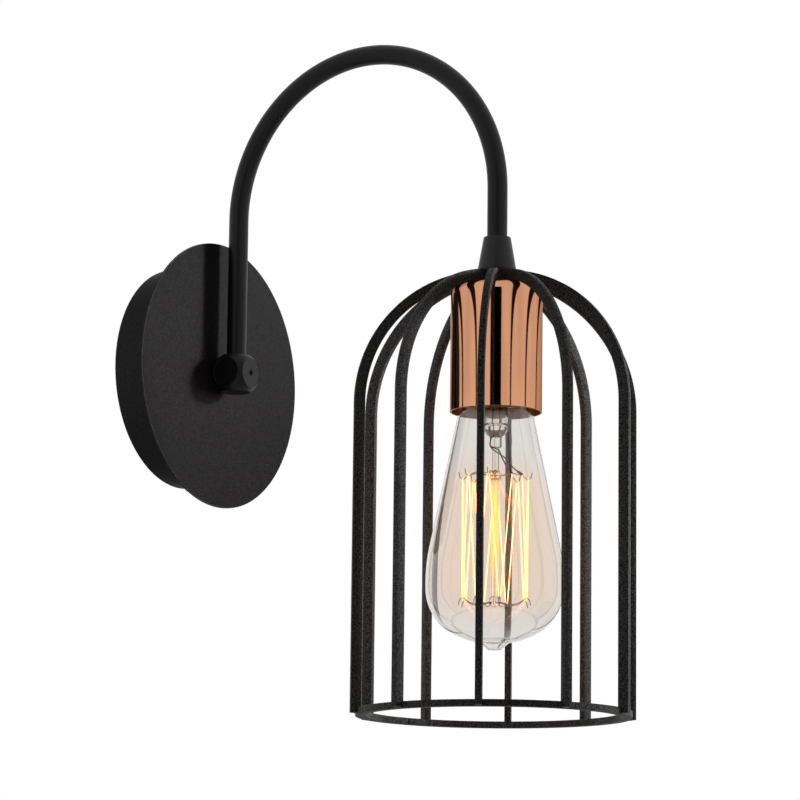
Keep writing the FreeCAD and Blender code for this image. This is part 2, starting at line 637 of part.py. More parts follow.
# Cage: a hub, ribs bent over a dome with hub ends coped to it, and a slit ring in the notched feet.
def cage():
    turned_body("cage_hub", rectangle_section("thread_hole / 2", "hub_diameter / 2", "-hub_height", "0"),
                "head_y", "head_z")
    for number in range(int(value("rib_count"))):
        rib = new_body("cage_rib_%02d" % (number + 1), "head_y", "head_z")
        rib.Placement.Rotation = Rotation(Vector(0, 0, 1), 1)
        turn = "rib_phase - 90 + %d * 360 / rib_count" % number
        rib.setExpression("Placement.Rotation.Angle", full(turn))
        bar = new_sketch(rib, "XZ_Plane")
        inner = "cage_radius - bar_width"
        outline(bar, [
            ("0", "0"), ("cage_radius", "0", "dome_radius"), ("cage_radius", "-rib_end"),
            (inner, "-rib_end"), (inner, "-bar_width", "dome_radius - bar_width"), ("0", "-bar_width")])
        pad(rib, bar, "bar_thickness", symmetric=True)
        cope = new_sketch(rib, "XY_Plane")
        circle(cope, "hub_diameter")
        pocket(rib, cope, symmetric=True)
        notch = new_sketch(rib, "XY_Plane", "-cage_height")
        circle(notch, "2 * ring_outer")
        pocket(rib, notch, "ring_height", backwards=True)
    band = rectangle_section("ring_outer - ring_width", "ring_outer", "-cage_height",
                             "ring_height - cage_height")
    ring = turned_body("cage_ring", band, "head_y", "head_z")
    ring.Placement.Rotation = Rotation(Vector(0, 0, 1), 1)
    ring.setExpression("Placement.Rotation.Angle", full("slit_azimuth - 90"))
    slit = new_sketch(ring, "XY_Plane", "-cage_height")
    box_outline(slit, "ring_outer - 2 * ring_width", "ring_outer + ring_width",
                "-slit_width / 2", "slit_width / 2")
    pocket(ring, slit, "ring_height", backwards=True)


# Spun copper cup with its washer and the locknut that clamps the whole head on the arm.
def cup():
    inside = "cup_diameter / 2 - cup_wall"
    hole = "thread_hole / 2"
    turned_body("cup_shell", [
        (hole, "-cup_top"), ("cup_diameter / 2", "-cup_top", "cup_shoulder"),
        ("cup_diameter / 2", "-cup_bottom"),
        (inside, "-cup_bottom"), (inside, "-cup_top - cup_wall", "cup_shoulder - cup_wall"),
        (hole, "-cup_top - cup_wall")], "head_y", "head_z")
    turned_body("cup_washer", rectangle_section(hole, "cup_washer_diameter / 2", "-bridge_top",
                "-cup_top - cup_wall"), "head_y", "head_z")
    nut_body("head_locknut", "head_y", "head_z - head_nut_top", "XY_Plane", backwards=True)


# Lampholder: a bent strap carries a ceramic body with the E27 shell, its two contacts and two wire posts.
def lampholder():
    place = ("head_y", "head_z")
    strap = new_body("holder_bridge", *place)
    section = new_sketch(strap, "XZ_Plane")
    leg, thick = "bridge_span / 2", "bridge_sheet"
    outer = "bridge_bend + bridge_sheet"
    toe = "(%s + bridge_foot)" % leg
    inside = "(%s - %s)" % (leg, thick)
    outline(section, [
        ("-" + toe, "-holder_top"), ("-" + toe, "-holder_top + " + thick),
        ("-" + leg, "-holder_top + " + thick, "bridge_bend"), ("-" + leg, "-bridge_top", outer),
        (leg, "-bridge_top", outer), (leg, "-holder_top + " + thick, "bridge_bend"),
        (toe, "-holder_top + " + thick), (toe, "-holder_top"), (inside, "-holder_top", outer),
        (inside, "-head_nut_top", "bridge_bend"), ("-" + inside, "-head_nut_top", "bridge_bend"),
        ("-" + inside, "-holder_top", outer)])
    pad(strap, section, "bridge_width", symmetric=True)
    eye = new_sketch(strap, "XY_Plane", "-head_nut_top")
    circle(eye, "thread_hole")
    pocket(strap, eye, "bridge_sheet", backwards=True)
    feet = new_sketch(strap, "XY_Plane", "-holder_top")
    sides = [("bridge_screw_offset", "0"), ("-bridge_screw_offset", "0")]
    for x, y in sides:
        circle(feet, "bridge_screw_diameter + 2 * slide_play", x, y)
    pocket(strap, feet, "bridge_sheet", backwards=True)
    screws = new_body("holder_bridge_screws", *place)
    headed_screws(screws, "XY_Plane", "-holder_top + bridge_sheet", sides, "bridge", "bridge_screw")

    body = turned_body("lampholder_body", [
        ("0", "-holder_top"), ("holder_diameter / 2", "-holder_top", "holder_edge_radius"),
        ("holder_diameter / 2", "-holder_top - holder_height", "holder_edge_radius"),
        ("holder_bore / 2", "-holder_top - holder_height"), ("holder_bore / 2", "-holder_floor"),
        ("0", "-holder_floor")], *place)
    posts = [("0", "-post_offset"), ("0", "post_offset")]
    taps = new_sketch(body, "XY_Plane", "-holder_top")
    for x, y in sides:
        circle(taps, "bridge_screw_diameter + thread_play", x, y)
    pocket(body, taps, "bridge_screw_length")
    ways = new_sketch(body, "XY_Plane", "-holder_top")
    for x, y in posts:
        circle(ways, "rivet_diameter + thread_play", x, y)
    pocket(body, ways, "holder_web")

    turned_body("lampholder_shell", [
        ("shell_eye / 2", "-shell_top"), ("shell_outer", "-shell_top"),
        ("shell_outer", "-shell_top - shell_length"),
        ("shell_outer - shell_wall", "-shell_top - shell_length"),
        ("shell_outer - shell_wall", "-shell_top - shell_wall"),
        ("shell_eye / 2", "-shell_top - shell_wall")],
        *place)

    rivets = new_body("lampholder_rivets", *place)
    shanks = new_sketch(rivets, "XY_Plane", "-holder_top")
    stands = new_body("lampholder_terminals", *place)
    rounds = new_sketch(stands, "XY_Plane", "-holder_top")
    bores = new_sketch(stands, "XY_Plane", "-holder_top + post_height")
    for x, y in posts:
        circle(shanks, "rivet_diameter", x, y)
        circle(rounds, "post_diameter", x, y)
        circle(bores, "post_bore", x, y)
    pad(rivets, shanks, "holder_web", backwards=True)
    pad(stands, rounds, "post_height")
    pocket(stands, bores, "post_bore_depth")
    taps = new_sketch(stands, "XZ_Plane")
    circle(taps, "post_screw_diameter + thread_play", "0", "-holder_top + post_height / 2")
    pocket(stands, taps, symmetric=True)
    clamps = new_body("lampholder_terminal_screws", *place)
    tip = "post_offset + wire_diameter / 2 + slide_play / 2"
    for turned in (False, True):
        sign = "-" if turned else ""
        shank = new_sketch(clamps, "XZ_Plane", "%s(%s)" % (sign, tip))
        circle(shank, "post_screw_diameter", "0", "-holder_top + post_height / 2")
        pad(clamps, shank, "post_screw_length", backwards=turned)
        cut = new_sketch(clamps, "XZ_Plane", "%s(%s + post_screw_length)" % (sign, tip))
        driver_slot(cut, "0", "-holder_top + post_height / 2", "post_screw_diameter")
        pocket(clamps, cut, "driver_slot_depth", backwards=turned)


# Sprung centre contact under the live post, and the block that ties the neutral post to the shell.
def lampholder_contacts():
    place = ("head_y", "head_z")
    leaf = new_body("lampholder_centre_contact", *place)
    section = new_sketch(leaf, "YZ_Plane")
    bend = "-leaf_tail + leaf_flat"
    outline(section, [
        ("-leaf_tail", "-holder_floor"), (bend, "-holder_floor"),
        ("-leaf_tip / 2", "-holder_floor - leaf_drop + leaf_thickness"),
        ("leaf_tip / 2", "-holder_floor - leaf_drop + leaf_thickness"),
        ("leaf_tip / 2", "-holder_floor - leaf_drop"), ("-leaf_tip / 2", "-holder_floor - leaf_drop"),
        (bend, "-holder_floor - leaf_thickness"), ("-leaf_tail", "-holder_floor - leaf_thickness")])
    pad(leaf, section, "leaf_width", symmetric=True)
    block = new_body("lampholder_shell_contact", *place)
    foot = new_sketch(block, "XY_Plane", "-holder_floor")
    box_outline(foot, "-leaf_width / 2", "leaf_width / 2", "shell_eye / 2 + leaf_lift",
                "shell_eye / 2 + leaf_lift + leaf_flat")
    pad(block, foot, "shell_drop", backwards=True)


# Wires: two from the block through base, knuckle and arm to the lampholder, and one to the earth lug.
def wires():
    pole, depth, spread = value("pole_pitch"), -value("pole_y"), value("wire_spread")
    start = value("-block_drop + block_height / 2 - sleeve_inset - wire_grip")
    arch, top = value("arch_radius"), value("spring_height + arch_radius")
    head_y, head_z = value("head_y"), value("head_z")
    exit_z = head_z - value("arm_end + wire_exit")
    post = value("post_offset")
    post_z = head_z - value("holder_top - post_height + post_bore_depth - wire_end_gap")
    for label, side in (("wire_live", -1), ("wire_neutral", 1)):
        x = side * spread
        rod_node(label, [bent_rod([
            (side * pole, depth, start), (side * pole, depth, -value("wire_rise")),
            (x, depth - value("wire_slant"), 0), (x, value("knuckle_y"), 0),
            (x, value("knuckle_y"), top, arch), (x, head_y, top, arch),
            (x, head_y, exit_z), (0, head_y + side * post, exit_z), (0, head_y + side * post, post_z)],
            value("wire_diameter"), value("wire_bend"))])
    lug = value("-barrel_y")
    rod_node("wire_earth", [bent_rod([
        (0, depth, start), (0, depth, value("-block_drop + block_height / 2 + earth_rise")),
        (0, lug, value("-block_drop + block_height / 2 + earth_rise + earth_climb")),
        (0, lug, value("earth_height - lug_reach + lug_barrel_length / 2"))],
        value("earth_wire_diameter"), value("wire_bend"))])


# Screw cap of the bulb: contact button, insulator and thin shell.
def bulb_cap():
    place = ("head_y", "head_z - bulb_seat")
    turned_body("bulb_contact", [
        ("0", "-button_height"), ("button_diameter / 2", "-button_height"),
        ("button_diameter / 2", "0", "button_height / 2"), ("0", "0")], *place)
    turned_body("bulb_insulator", [
        ("0", "-insulator_bottom"), ("insulator_diameter / 2", "-insulator_bottom"),
        ("insulator_top_diameter / 2", "-button_height - turning_gap"),
        ("0", "-button_height - turning_gap")],
        *place)
    skin = "cap_diameter / 2 - cap_wall"
    turned_body("bulb_cap", [
        ("cap_eye / 2", "-insulator_bottom"), ("cap_rim_diameter / 2", "-insulator_bottom"),
        ("cap_diameter / 2", "-cap_shoulder"), ("cap_diameter / 2", "-cap_length"), (skin, "-cap_length"),
        (skin, "-cap_shoulder - cap_wall"),
        ("cap_rim_diameter / 2 - cap_wall", "-insulator_bottom - cap_wall"),
        ("cap_eye / 2", "-insulator_bottom - cap_wall")], *place)


def glass_section(inset, top):
    # Half section of the bulb's glass, drawn in from its outside by the inset.
    def at(diameter, level, rounding, drop="0"):
        return ("%s / 2 - %s" % (diameter, inset), "-%s + %s" % (level, drop), rounding)

    return [
        ("0", top), ("neck_diameter / 2 - " + inset, top),
        at("neck_diameter", "neck_bottom", "neck_rounding"),
        at("shoulder_diameter", "shoulder_level", "shoulder_rounding"),
        at("bulb_diameter", "belly_top", "flank_rounding"),
        at("bulb_diameter", "belly_bottom", "belly_rounding - " + inset),
        at("base_diameter", "base_level", "base_rounding", inset)]


# Pear-shaped glass: blown wall, drawn-out pip below, and the flared stem with its two hook beads inside.
def bulb_glass():
    place = ("head_y", "head_z - bulb_seat")
    glass = turned_body("bulb_glass", glass_section("0", "-neck_top") + [
        ("flare_diameter / 2", "-pip_top", "flare_rounding"),
        ("pip_diameter / 2", "-bulb_length", "pip_rounding"),
        ("0", "-bulb_length")], *place)
    hollow = new_sketch(glass, "XZ_Plane")
    outline(hollow, glass_section("glass_wall", "-neck_top + glass_wall") + [("0", "-base_level")])
    revolve(glass, hollow, "Groove")

    rod, bead, press = "rod_diameter / 2", "bead_diameter / 2", "press_diameter / 2"
    tube = "stem_diameter / 2"
    rim, rim_top = "neck_diameter / 2", "-neck_top + stem_wall"
    knots = []
    for level in ("upper_bead", "lower_bead"):
        knots += [(rod, "-%s + bead_half" % level),
                  (bead, "-%s + bead_band / 2" % level, "bead_rounding"),
                  (bead, "-%s - bead_band / 2" % level, "bead_rounding")]
        if level == "upper_bead":
            knots.append((rod, "-%s - bead_half" % level))
    turned_body("bulb_stem", [
        ("0", "-stem_bore_end"), (tube + " - stem_wall", "-stem_bore_end"),
        (tube + " - stem_wall", "-stem_flare_end + stem_wall", "stem_flare_rounding"),
        (rim + " - stem_lip", rim_top),
        (rim, rim_top), (rim, "-neck_top"), (rim + " - stem_lip", "-neck_top"),
        (tube, "-stem_flare_end", "stem_flare_rounding"), (tube, "-stem_bottom", "stem_end_rounding"),
        (press, "-press_top", "press_rounding"), (press, "-press_bottom", "press_rounding"),
        (rod, "-press_bottom")] + knots +
        [("0", "-lower_bead - bead_half")], *place)


def hook_angles():
    # Angles of the lower hooks, of the upper hooks between them and of the two leads beyond them.
    count, pitch, middle = int(value("lower_hooks")), value("hook_azimuth_step"), value("filament_phase")
    lower = [middle + (index - (count - 1) / 2) * pitch for index in range(count)]
    upper = [(first + second) / 2 for first, second in zip(lower, lower[1:])]
    return lower, upper, (lower[0] - pitch / 2, lower[-1] + pitch / 2)


# Support hooks, filament zigzag and the two lead wires inside the bulb.
def bulb_wires():
    place = ("head_y", "head_z - bulb_seat")
    lower, upper, leads = hook_angles()
    bead, reach = value("bead_diameter / 2"), value("hook_reach")
    turn, thick = value("hook_turn"), value("hook_wire")
    hooks = []
    for angles, level, lift in ((upper, value("upper_bead"), -turn), (lower, value("lower_bead"), turn)):
        for angle in angles:
            hooks.append(bent_rod([around(bead, angle, level), around(reach, angle, level),
                                   around(reach, angle, level + lift)], thick, thick))
    rod_node("bulb_supports", hooks, *place)

    # The filament turns round each hook in a half circle, so each hook has two corners.
    radius, top, bottom = value("filament_radius"), value("filament_top"), value("filament_bottom")
    bend = value("filament_bend")
    aside = math.degrees(math.asin(bend / radius))
    turns = sorted([(angle, bottom) for angle in lower] + [(angle, top) for angle in upper])
    zigzag = [around(radius, leads[0], top)]
    for angle, level in turns:
        zigzag += [around(radius, angle - aside, level), around(radius, angle + aside, level)]
    zigzag.append(around(radius, leads[1], top))
    rod_node("bulb_filament", [bent_rod(zigzag, value("filament_wire"), bend)], *place)

    foot, lead = value("lead_radius"), value("lead_wire")
    press, spread = value("press_bottom"), value("press_bottom + lead_rise")
    rods = []
    for angle in leads:
        rods.append(bent_rod([around(foot, angle, press), around(foot, angle, spread),
                              around(radius, angle, top - lead)], lead, lead))
    rod_node("bulb_lead_wires", rods, *place)


wall_bracket()
skirt_screws()
earth_fixing()
terminal_block()
round_base()
base_clamp()
knuckle()
arm_tube()
cone_collar()
cage()
cup()
lampholder()
lampholder_contacts()
wires()
bulb_cap()
bulb_glass()
bulb_wires()

for node in nodes:
    if node.TypeId == "PartDesign::Body":
        node.Tip = node.Group[-1]
doc.recompute()

# Nothing may have failed, and each cut must have taken material away.
for item in doc.Objects:
    if "Invalid" in item.State or "Error" in item.State:
        raise RuntimeError(item.Name + " failed: " + ", ".join(item.State))
    if item.TypeId in ("PartDesign::Pocket", "PartDesign::Groove"):
        before = item.BaseFeature.Shape.Volume
        if item.Shape.Volume > before - 1e-3:
            raise RuntimeError(item.Name + " cuts nothing")
for node in nodes:
    if node.Shape.isNull() or not node.Shape.isValid() or not node.Shape.Solids:
        raise RuntimeError(node.Label + " is not a valid solid")

os.makedirs("parts", exist_ok=True)
for node in nodes:
    node.Shape.exportStep(os.path.join("parts", node.Label + ".step"))
    print("%-28s %2d solids %9.1f mm3" % (node.Label, len(node.Shape.Solids), node.Shape.Volume))
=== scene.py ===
import json
import math
import bmesh
import bpy
from mathutils import Matrix, Vector

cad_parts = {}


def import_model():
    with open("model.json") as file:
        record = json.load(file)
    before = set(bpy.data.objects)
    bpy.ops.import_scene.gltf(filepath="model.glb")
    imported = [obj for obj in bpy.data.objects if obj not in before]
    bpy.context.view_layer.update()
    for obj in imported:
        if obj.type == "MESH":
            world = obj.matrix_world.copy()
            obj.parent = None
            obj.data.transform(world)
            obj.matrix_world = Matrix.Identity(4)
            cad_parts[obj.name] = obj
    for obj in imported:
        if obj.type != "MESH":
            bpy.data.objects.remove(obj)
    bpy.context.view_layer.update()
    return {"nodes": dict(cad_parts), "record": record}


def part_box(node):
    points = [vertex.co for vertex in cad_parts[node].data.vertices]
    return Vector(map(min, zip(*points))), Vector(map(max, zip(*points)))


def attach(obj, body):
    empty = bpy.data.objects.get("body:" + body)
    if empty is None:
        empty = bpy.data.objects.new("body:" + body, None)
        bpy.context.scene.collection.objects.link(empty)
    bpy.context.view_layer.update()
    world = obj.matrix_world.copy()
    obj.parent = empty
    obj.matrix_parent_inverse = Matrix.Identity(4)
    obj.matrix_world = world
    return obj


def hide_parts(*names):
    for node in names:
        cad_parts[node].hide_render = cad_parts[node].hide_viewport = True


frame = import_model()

mm = 0.001
print("frame loaded with", len(frame["nodes"]), "nodes")

# Places that several pieces share, read from the frame. The wall is the plane y = 0 and z points up.
knuckleLow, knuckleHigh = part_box("knuckle_cube")
hubLow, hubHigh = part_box("cage_hub")
knucklePlace = (knuckleLow + knuckleHigh) / 2
headPlace = Vector((0, (hubLow.y + hubHigh.y) / 2, hubHigh.z))
bulbPlace = Vector((0, headPlace.y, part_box("bulb_contact")[1].z))


# A socket that can stand in a sum: each operator adds the Math node that it needs.
class Value:
    def __init__(self, web, socket):
        self.web = web
        self.socket = socket

    def maths(self, operation, first, second=None):
        sockets = {0: first} if second is None else {0: first, 1: second}
        return self.web.node("ShaderNodeMath", {"operation": operation}, sockets)

    def __add__(self, other):
        return self.maths("ADD", self, other)

    def __sub__(self, other):
        return self.maths("SUBTRACT", self, other)

    def __rsub__(self, other):
        return self.maths("SUBTRACT", other, self)

    def __mul__(self, other):
        return self.maths("MULTIPLY", self, other)

    def __truediv__(self, other):
        return self.maths("DIVIDE", self, other)

    def __rtruediv__(self, other):
        return self.maths("DIVIDE", other, self)

    def __abs__(self):
        return self.maths("ABSOLUTE", self)

    __radd__ = __add__
    __rmul__ = __mul__


# Any node comes from one method: its type, its settings, then its sockets' values or links.
class Web:
    def __init__(self, tree):
        self.tree = tree

    def give(self, socket, value):
        if isinstance(value, Value):
            self.tree.links.new(value.socket, socket)
        elif isinstance(value, tuple) and socket.type == "RGBA":
            socket.default_value = (*value, 1)
        else:
            socket.default_value = value

    def node(self, kind, settings=None, sockets=None, output=0):
        made = self.tree.nodes.new(kind)
        for label, value in (settings or {}).items():
            if label == "stops":
                self.setStops(made.color_ramp.elements, value)
            else:
                setattr(made, label, value)
        for label, value in (sockets or {}).items():
            self.give(made.inputs[label], value)
        return Value(self, made.outputs[output])

    def setStops(self, elements, stops):
        while len(elements) < len(stops):
            elements.new(1)
        for element, (position, colour) in zip(elements, stops):
            element.position = position
            element.color = (*colour, 1)


# A material: plain values are set on the shader's own sockets, and what varies is linked to them.
class Surface(Web):
    def __init__(self, name, **plain):
        self.material = bpy.data.materials.new(name)
        self.material.use_nodes = True
        super().__init__(self.material.node_tree)
        self.shader = self.tree.nodes["Principled BSDF"]
        self.feed(**plain)

    def feed(self, **values):
        for label, value in values.items():
            words = "".join(" " + letter if letter.isupper() else letter for letter in label)
            self.give(self.shader.inputs[words.title().replace("Ior", "IOR")], value)

    def place(self, centre=(0, 0, 0), stretch=(1, 1, 1)):
        where = self.node("ShaderNodeTexCoord", output="Object")
        return self.node("ShaderNodeMapping", {"vector_type": "TEXTURE"},
                         {"Vector": where, "Location": centre, "Scale": stretch})

    def along(self, letter, centre=(0, 0, 0)):
        return self.node("ShaderNodeSeparateXYZ", None, {0: self.place(centre)}, letter)

    def noise(self, grain, detail=2, stretch=(1, 1, 1)):
        return self.node("ShaderNodeTexNoise", None, {
            "Vector": self.place(stretch=stretch), "Scale": 1 / grain, "Detail": detail})

    def facing(self, blend):
        return self.node("ShaderNodeLayerWeight", None, {"Blend": blend}, "Facing")

    def ramp(self, factor, *stops):
        return self.node("ShaderNodeValToRGB", {"stops": stops}, {"Fac": factor})

    def mix(self, share, first, second):
        return self.node("ShaderNodeMix", {"data_type": "RGBA"}, {"Factor": share, 6: first, 7: second}, 2)

    def bump(self, height, depth):
        return self.node("ShaderNodeBump", None, {"Height": height, "Distance": depth, "Strength": 1})


def grey(level):
    return (level, level, level)


def shade(colour, factor):
    return tuple(channel * factor for channel in colour)


# Finishes
satinLook = {"colour": (0.0205, 0.0198, 0.0208), "speckle": 0.3, "peel": 0.9 * mm, "peelDepth": 0.006 * mm,
             "roughness": 0.34, "patches": 20 * mm, "patchRoughness": 0.12}


def satinBlack(name, level, gloss):
    # satin paint, level times as light as the base's, with a fine peel
    look = satinLook
    surface = Surface(name, specularIorLevel=gloss)
    grain = surface.noise(look["peel"], detail=3)
    dark = shade(look["colour"], (1 - look["speckle"]) * level)
    light = shade(look["colour"], (1 + look["speckle"]) * level)
    surface.feed(baseColor=surface.ramp(grain, (0.3, dark), (0.7, light)),
                 roughness=look["roughness"] + look["patchRoughness"] * surface.noise(look["patches"]),
                 normal=surface.bump(grain, look["peelDepth"]))
    return surface.material


sandLook = {"dark": (0.014, 0.0135, 0.013), "light": (0.15, 0.146, 0.143), "grain": 0.5 * mm,
            "depth": 0.05 * mm, "roughness": 0.55, "gloss": 0.02}


def sandBlack():
    # sandy powder coat with light and dark grains
    look = sandLook
    surface = Surface("sandBlack", roughness=look["roughness"], specularIorLevel=look["gloss"])
    sand = surface.noise(look["grain"], detail=4)
    surface.feed(baseColor=surface.ramp(sand, (0.4, look["dark"]), (0.62, look["light"])),
                 normal=surface.bump(sand, look["depth"]))
    return surface.material


copperLook = {"outside": (0.69, 0.33, 0.185), "inside": (0.75, 0.42, 0.2), "sheen": (0.5, 0.42, 0.38),
              "roughness": 0.05, "smearRoughness": 0.04, "boreRoughness": 0.25,
              "smear": 6 * mm, "wave": 9 * mm, "waveDepth": 0.008 * mm,
              "boreRadius": 21.1 * mm, "boreTop": 12.4 * mm}


def polishedCopper():
    # rose copper outside, and a duller bore whose yellower colour is painted warm light from the filament
    look = copperLook
    surface = Surface("polishedCopper", metallic=1.0, specularTint=look["sheen"])
    smears = surface.noise(look["smear"], stretch=(1, 1, 12))
    outside = surface.ramp(smears, (0.35, shade(look["outside"], 0.8)), (0.65, look["outside"]))
    level = surface.node("ShaderNodeVectorMath", {"operation": "MULTIPLY"},
                         {0: surface.place(headPlace), 1: (1, 1, 0)})
    radius = surface.node("ShaderNodeVectorMath", {"operation": "LENGTH"}, {0: level}, "Value")
    bore = (radius.maths("LESS_THAN", radius, look["boreRadius"])
            * radius.maths("LESS_THAN", surface.along("Z", headPlace), -look["boreTop"]))
    dull = smears * look["smearRoughness"] + bore * look["boreRoughness"]
    # painted light: the bore's yellower copper stands for the filament's warm light mirrored inside the cup
    surface.feed(baseColor=surface.mix(bore, outside, look["inside"]),
                 roughness=look["roughness"] + dull,
                 normal=surface.bump(surface.noise(look["wave"]), look["waveDepth"]))
    return surface.material


def brightMetal(name, colour, roughness, grain):
    # bare or plated metal with faint upright streaks
    surface = Surface(name, metallic=1.0)
    streaks = surface.noise(grain, stretch=(1, 1, 6))
    surface.feed(baseColor=surface.ramp(streaks, (0.3, shade(colour, 0.85)), (0.7, colour)),
                 roughness=roughness + streaks * 0.1)
    return surface.material


def moulded(name, colour, roughness, mottle=2 * mm, **plain):
    # plastic, porcelain or glassy mass with a faint mottle
    surface = Surface(name, **plain)
    cloud = surface.noise(mottle)
    surface.feed(baseColor=surface.ramp(cloud, (0.3, shade(colour, 0.92)), (0.7, colour)),
                 roughness=roughness + cloud * 0.08)
    return surface.material


earthLook = {"green": (0.05, 0.3, 0.05), "yellow": (0.75, 0.62, 0.05), "stripe": 0.3, "blur": 0.05}


def earthInsulation():
    # green with a yellow stripe on its right side
    look = earthLook
    surface = Surface("earthInsulation", roughness=0.45)
    side = surface.along("X") / mm
    surface.feed(baseColor=surface.ramp(side, (look["stripe"], look["green"]),
                                        (look["stripe"] + look["blur"], look["yellow"])))
    return surface.material


glassLook = {"clear": (0.85, 0.835, 0.815), "warm": (0.88, 0.787, 0.707), "edge": (0.42, 0.41, 0.4),
             "middle": -90 * mm, "half": 42 * mm}


def bulbGlass():
    # faintly smoked, with a painted glow of the filament's light round the filament and painted shade where
    # the wall is seen edge on
    look = glassLook
    surface = Surface("bulbGlass", roughness=0.0, ior=1.45, transmissionWeight=1.0, specularIorLevel=0.35)
    middle = bulbPlace + Vector((0, 0, look["middle"]))
    away = abs(surface.along("Z", middle)) / look["half"]
    turned = surface.facing(0.5)
    # painted light: the glass near the filament, seen face on, takes its warm glow
    glowShare = (surface.ramp(away, (0.6, grey(1)), (1.0, grey(0)))
            * surface.ramp(turned, (0.25, grey(1)), (0.6, grey(0))))
    body = surface.mix(glowShare, look["clear"], look["warm"])
    # painted shade: the wall seen edge on turns darker
    rim = surface.ramp(turned, (0.72, grey(0)), (0.97, grey(1)))
    surface.feed(baseColor=surface.mix(rim, body, look["edge"]))
    return surface.material


stemLook = {"clear": (0.93, 0.91, 0.88), "edge": (0.4, 0.37, 0.34), "filamentLitAmber": (0.95, 0.66, 0.34),
            "glow": (1.0, 0.42, 0.03), "glowStrength": 0.6, "middle": -84 * mm, "half": 26 * mm}


def stemGlass():
    # painted light: the rod between the beads is coloured amber and glows as if lit by the filament
    look = stemLook
    surface = Surface("stemGlass", roughness=0.02, ior=1.5, transmissionWeight=1.0,
                      emissionStrength=look["glowStrength"])
    middle = bulbPlace + Vector((0, 0, look["middle"]))
    away = abs(surface.along("Z", middle)) / look["half"]
    # painted shade: darker where the glass is seen edge on
    body = surface.ramp(surface.facing(0.5), (0.3, look["clear"]), (0.95, look["edge"]))
    # painted light: amber colour and glow near the filament
    lit = surface.ramp(away, (0.5, grey(1)), (1.0, grey(0)))
    surface.feed(baseColor=surface.mix(lit, body, look["filamentLitAmber"]),
                 emissionColor=surface.ramp(away, (0.5, look["glow"]), (1.0, grey(0))))
    return surface.material


filamentLook = {"wire": (0.5, 0.25, 0.1), "hot": (1.0, 0.38, 0.12), "cool": (0.6, 0.17, 0.04),
                "strength": 5.5, "middle": -90 * mm, "half": 30 * mm}


def glowingFilament():
    # hot between the hooks and cooler where they hold it
    look = filamentLook
    surface = Surface("glowingFilament", baseColor=look["wire"], roughness=0.6,
                      emissionStrength=look["strength"])
    middle = bulbPlace + Vector((0, 0, look["middle"]))
    away = abs(surface.along("Z", middle)) / look["half"]
    surface.feed(emissionColor=surface.ramp(away, (0.8, look["hot"]), (0.98, look["cool"])))
    return surface.material


finishes = {
    "satin_black": satinBlack("satinBlack", 1.0, 0.012),
    "sand_black": sandBlack(),
    "copper": polishedCopper(),
    "zinc_steel": brightMetal("zincSteel", (0.62, 0.62, 0.6), 0.25, 3 * mm),
    "black_steel": moulded("blackSteel", (0.008, 0.008, 0.008), 0.5, specularIorLevel=0.03),
    "brass": brightMetal("brass", (0.78, 0.58, 0.26), 0.22, 2 * mm),
    "tinned_copper": brightMetal("tinnedCopper", (0.66, 0.62, 0.58), 0.3, 2 * mm),
    "white_plastic": moulded("whitePlastic", (0.8, 0.79, 0.76), 0.4),
    "porcelain": moulded("porcelain", (0.83, 0.8, 0.75), 0.15, 6 * mm),
    "black_vitrite": moulded("blackVitrite", (0.012, 0.012, 0.014), 0.1),
    "clear_glass": bulbGlass(),
    "hook_wire": brightMetal("hookWire", (0.2, 0.17, 0.15), 0.35, 1 * mm),
    "filament": glowingFilament(),
    "brown_insulation": moulded("brownInsulation", (0.14, 0.06, 0.03), 0.45),
    "blue_insulation": moulded("blueInsulation", (0.04, 0.14, 0.42), 0.45),
    "green_yellow_insulation": earthInsulation(),
}
# Darker copies of the black paint stand as painted shade on the arm and the cone; the knuckle's copy is half
# as light.
armShadeFinish = satinBlack("armShadedBlack", 0.3, 0.18)
knuckleFinish = satinBlack("knuckleBlack", 0.5, 0.15)
coneShadeFinish = satinBlack("coneShadedBlack", 0.3, 0.26)
# A lighter copy of the black paint is a painted highlight on the disc's front edge.
rimHighlightFinish = satinBlack("rimHighlightBlack", 3.5, 0.06)
leadFinish = brightMetal("leadWire", (0.12, 0.105, 0.095), 0.4, 1 * mm)
stemFinish = stemGlass()
weldFinish = brightMetal("weldBead", (0.075, 0.05, 0.035), 0.5, 0.6 * mm)

slotOf = {}
for part in frame["record"]["subparts"]:
    slotOf[part["node"]] = part["material_slot"]
    mesh = frame["nodes"][part["node"]].data
    mesh.materials.clear()
    mesh.materials.append(finishes[part["material_slot"]])
print("finishes made:", len(finishes))


# Modelling helpers. Sizes of pieces are in millimetres. Turned pieces are shaped at the origin about Z and
# then put in their place, so their levels count from that place.
sharpEdge = 32  # degrees between two faces, past which their edge stays sharp


def begin(name):
    # the primitive that was just added gets its name and goes into edit mode
    piece = bpy.context.object
    piece.name = name
    piece.data.name = name
    bpy.ops.object.mode_set(mode="EDIT")
    bpy.ops.mesh.select_mode(type="VERT")
    return piece


def only(piece):
    bpy.ops.object.select_all(action="DESELECT")
    piece.select_set(True)
    bpy.context.view_layer.objects.active = piece


def pickFaces(piece, test):
    # in edit mode: selects the faces whose middle passes the test
    bpy.ops.mesh.select_mode(type="FACE")
    bpy.ops.mesh.select_all(action="DESELECT")
    shape = bmesh.from_edit_mesh(piece.data)
    for face in shape.faces:
        face.select_set(test(face.calc_center_median()))
    shape.select_flush(True)
    bmesh.update_edit_mesh(piece.data)


def weld(distance=0.002 * mm):
    bpy.ops.mesh.select_all(action="SELECT")
    bpy.ops.mesh.remove_doubles(threshold=distance)
    bpy.ops.mesh.normals_make_consistent(inside=False)


def smooth(angle=sharpEdge):
    bpy.ops.object.shade_smooth_by_angle(angle=math.radians(angle))


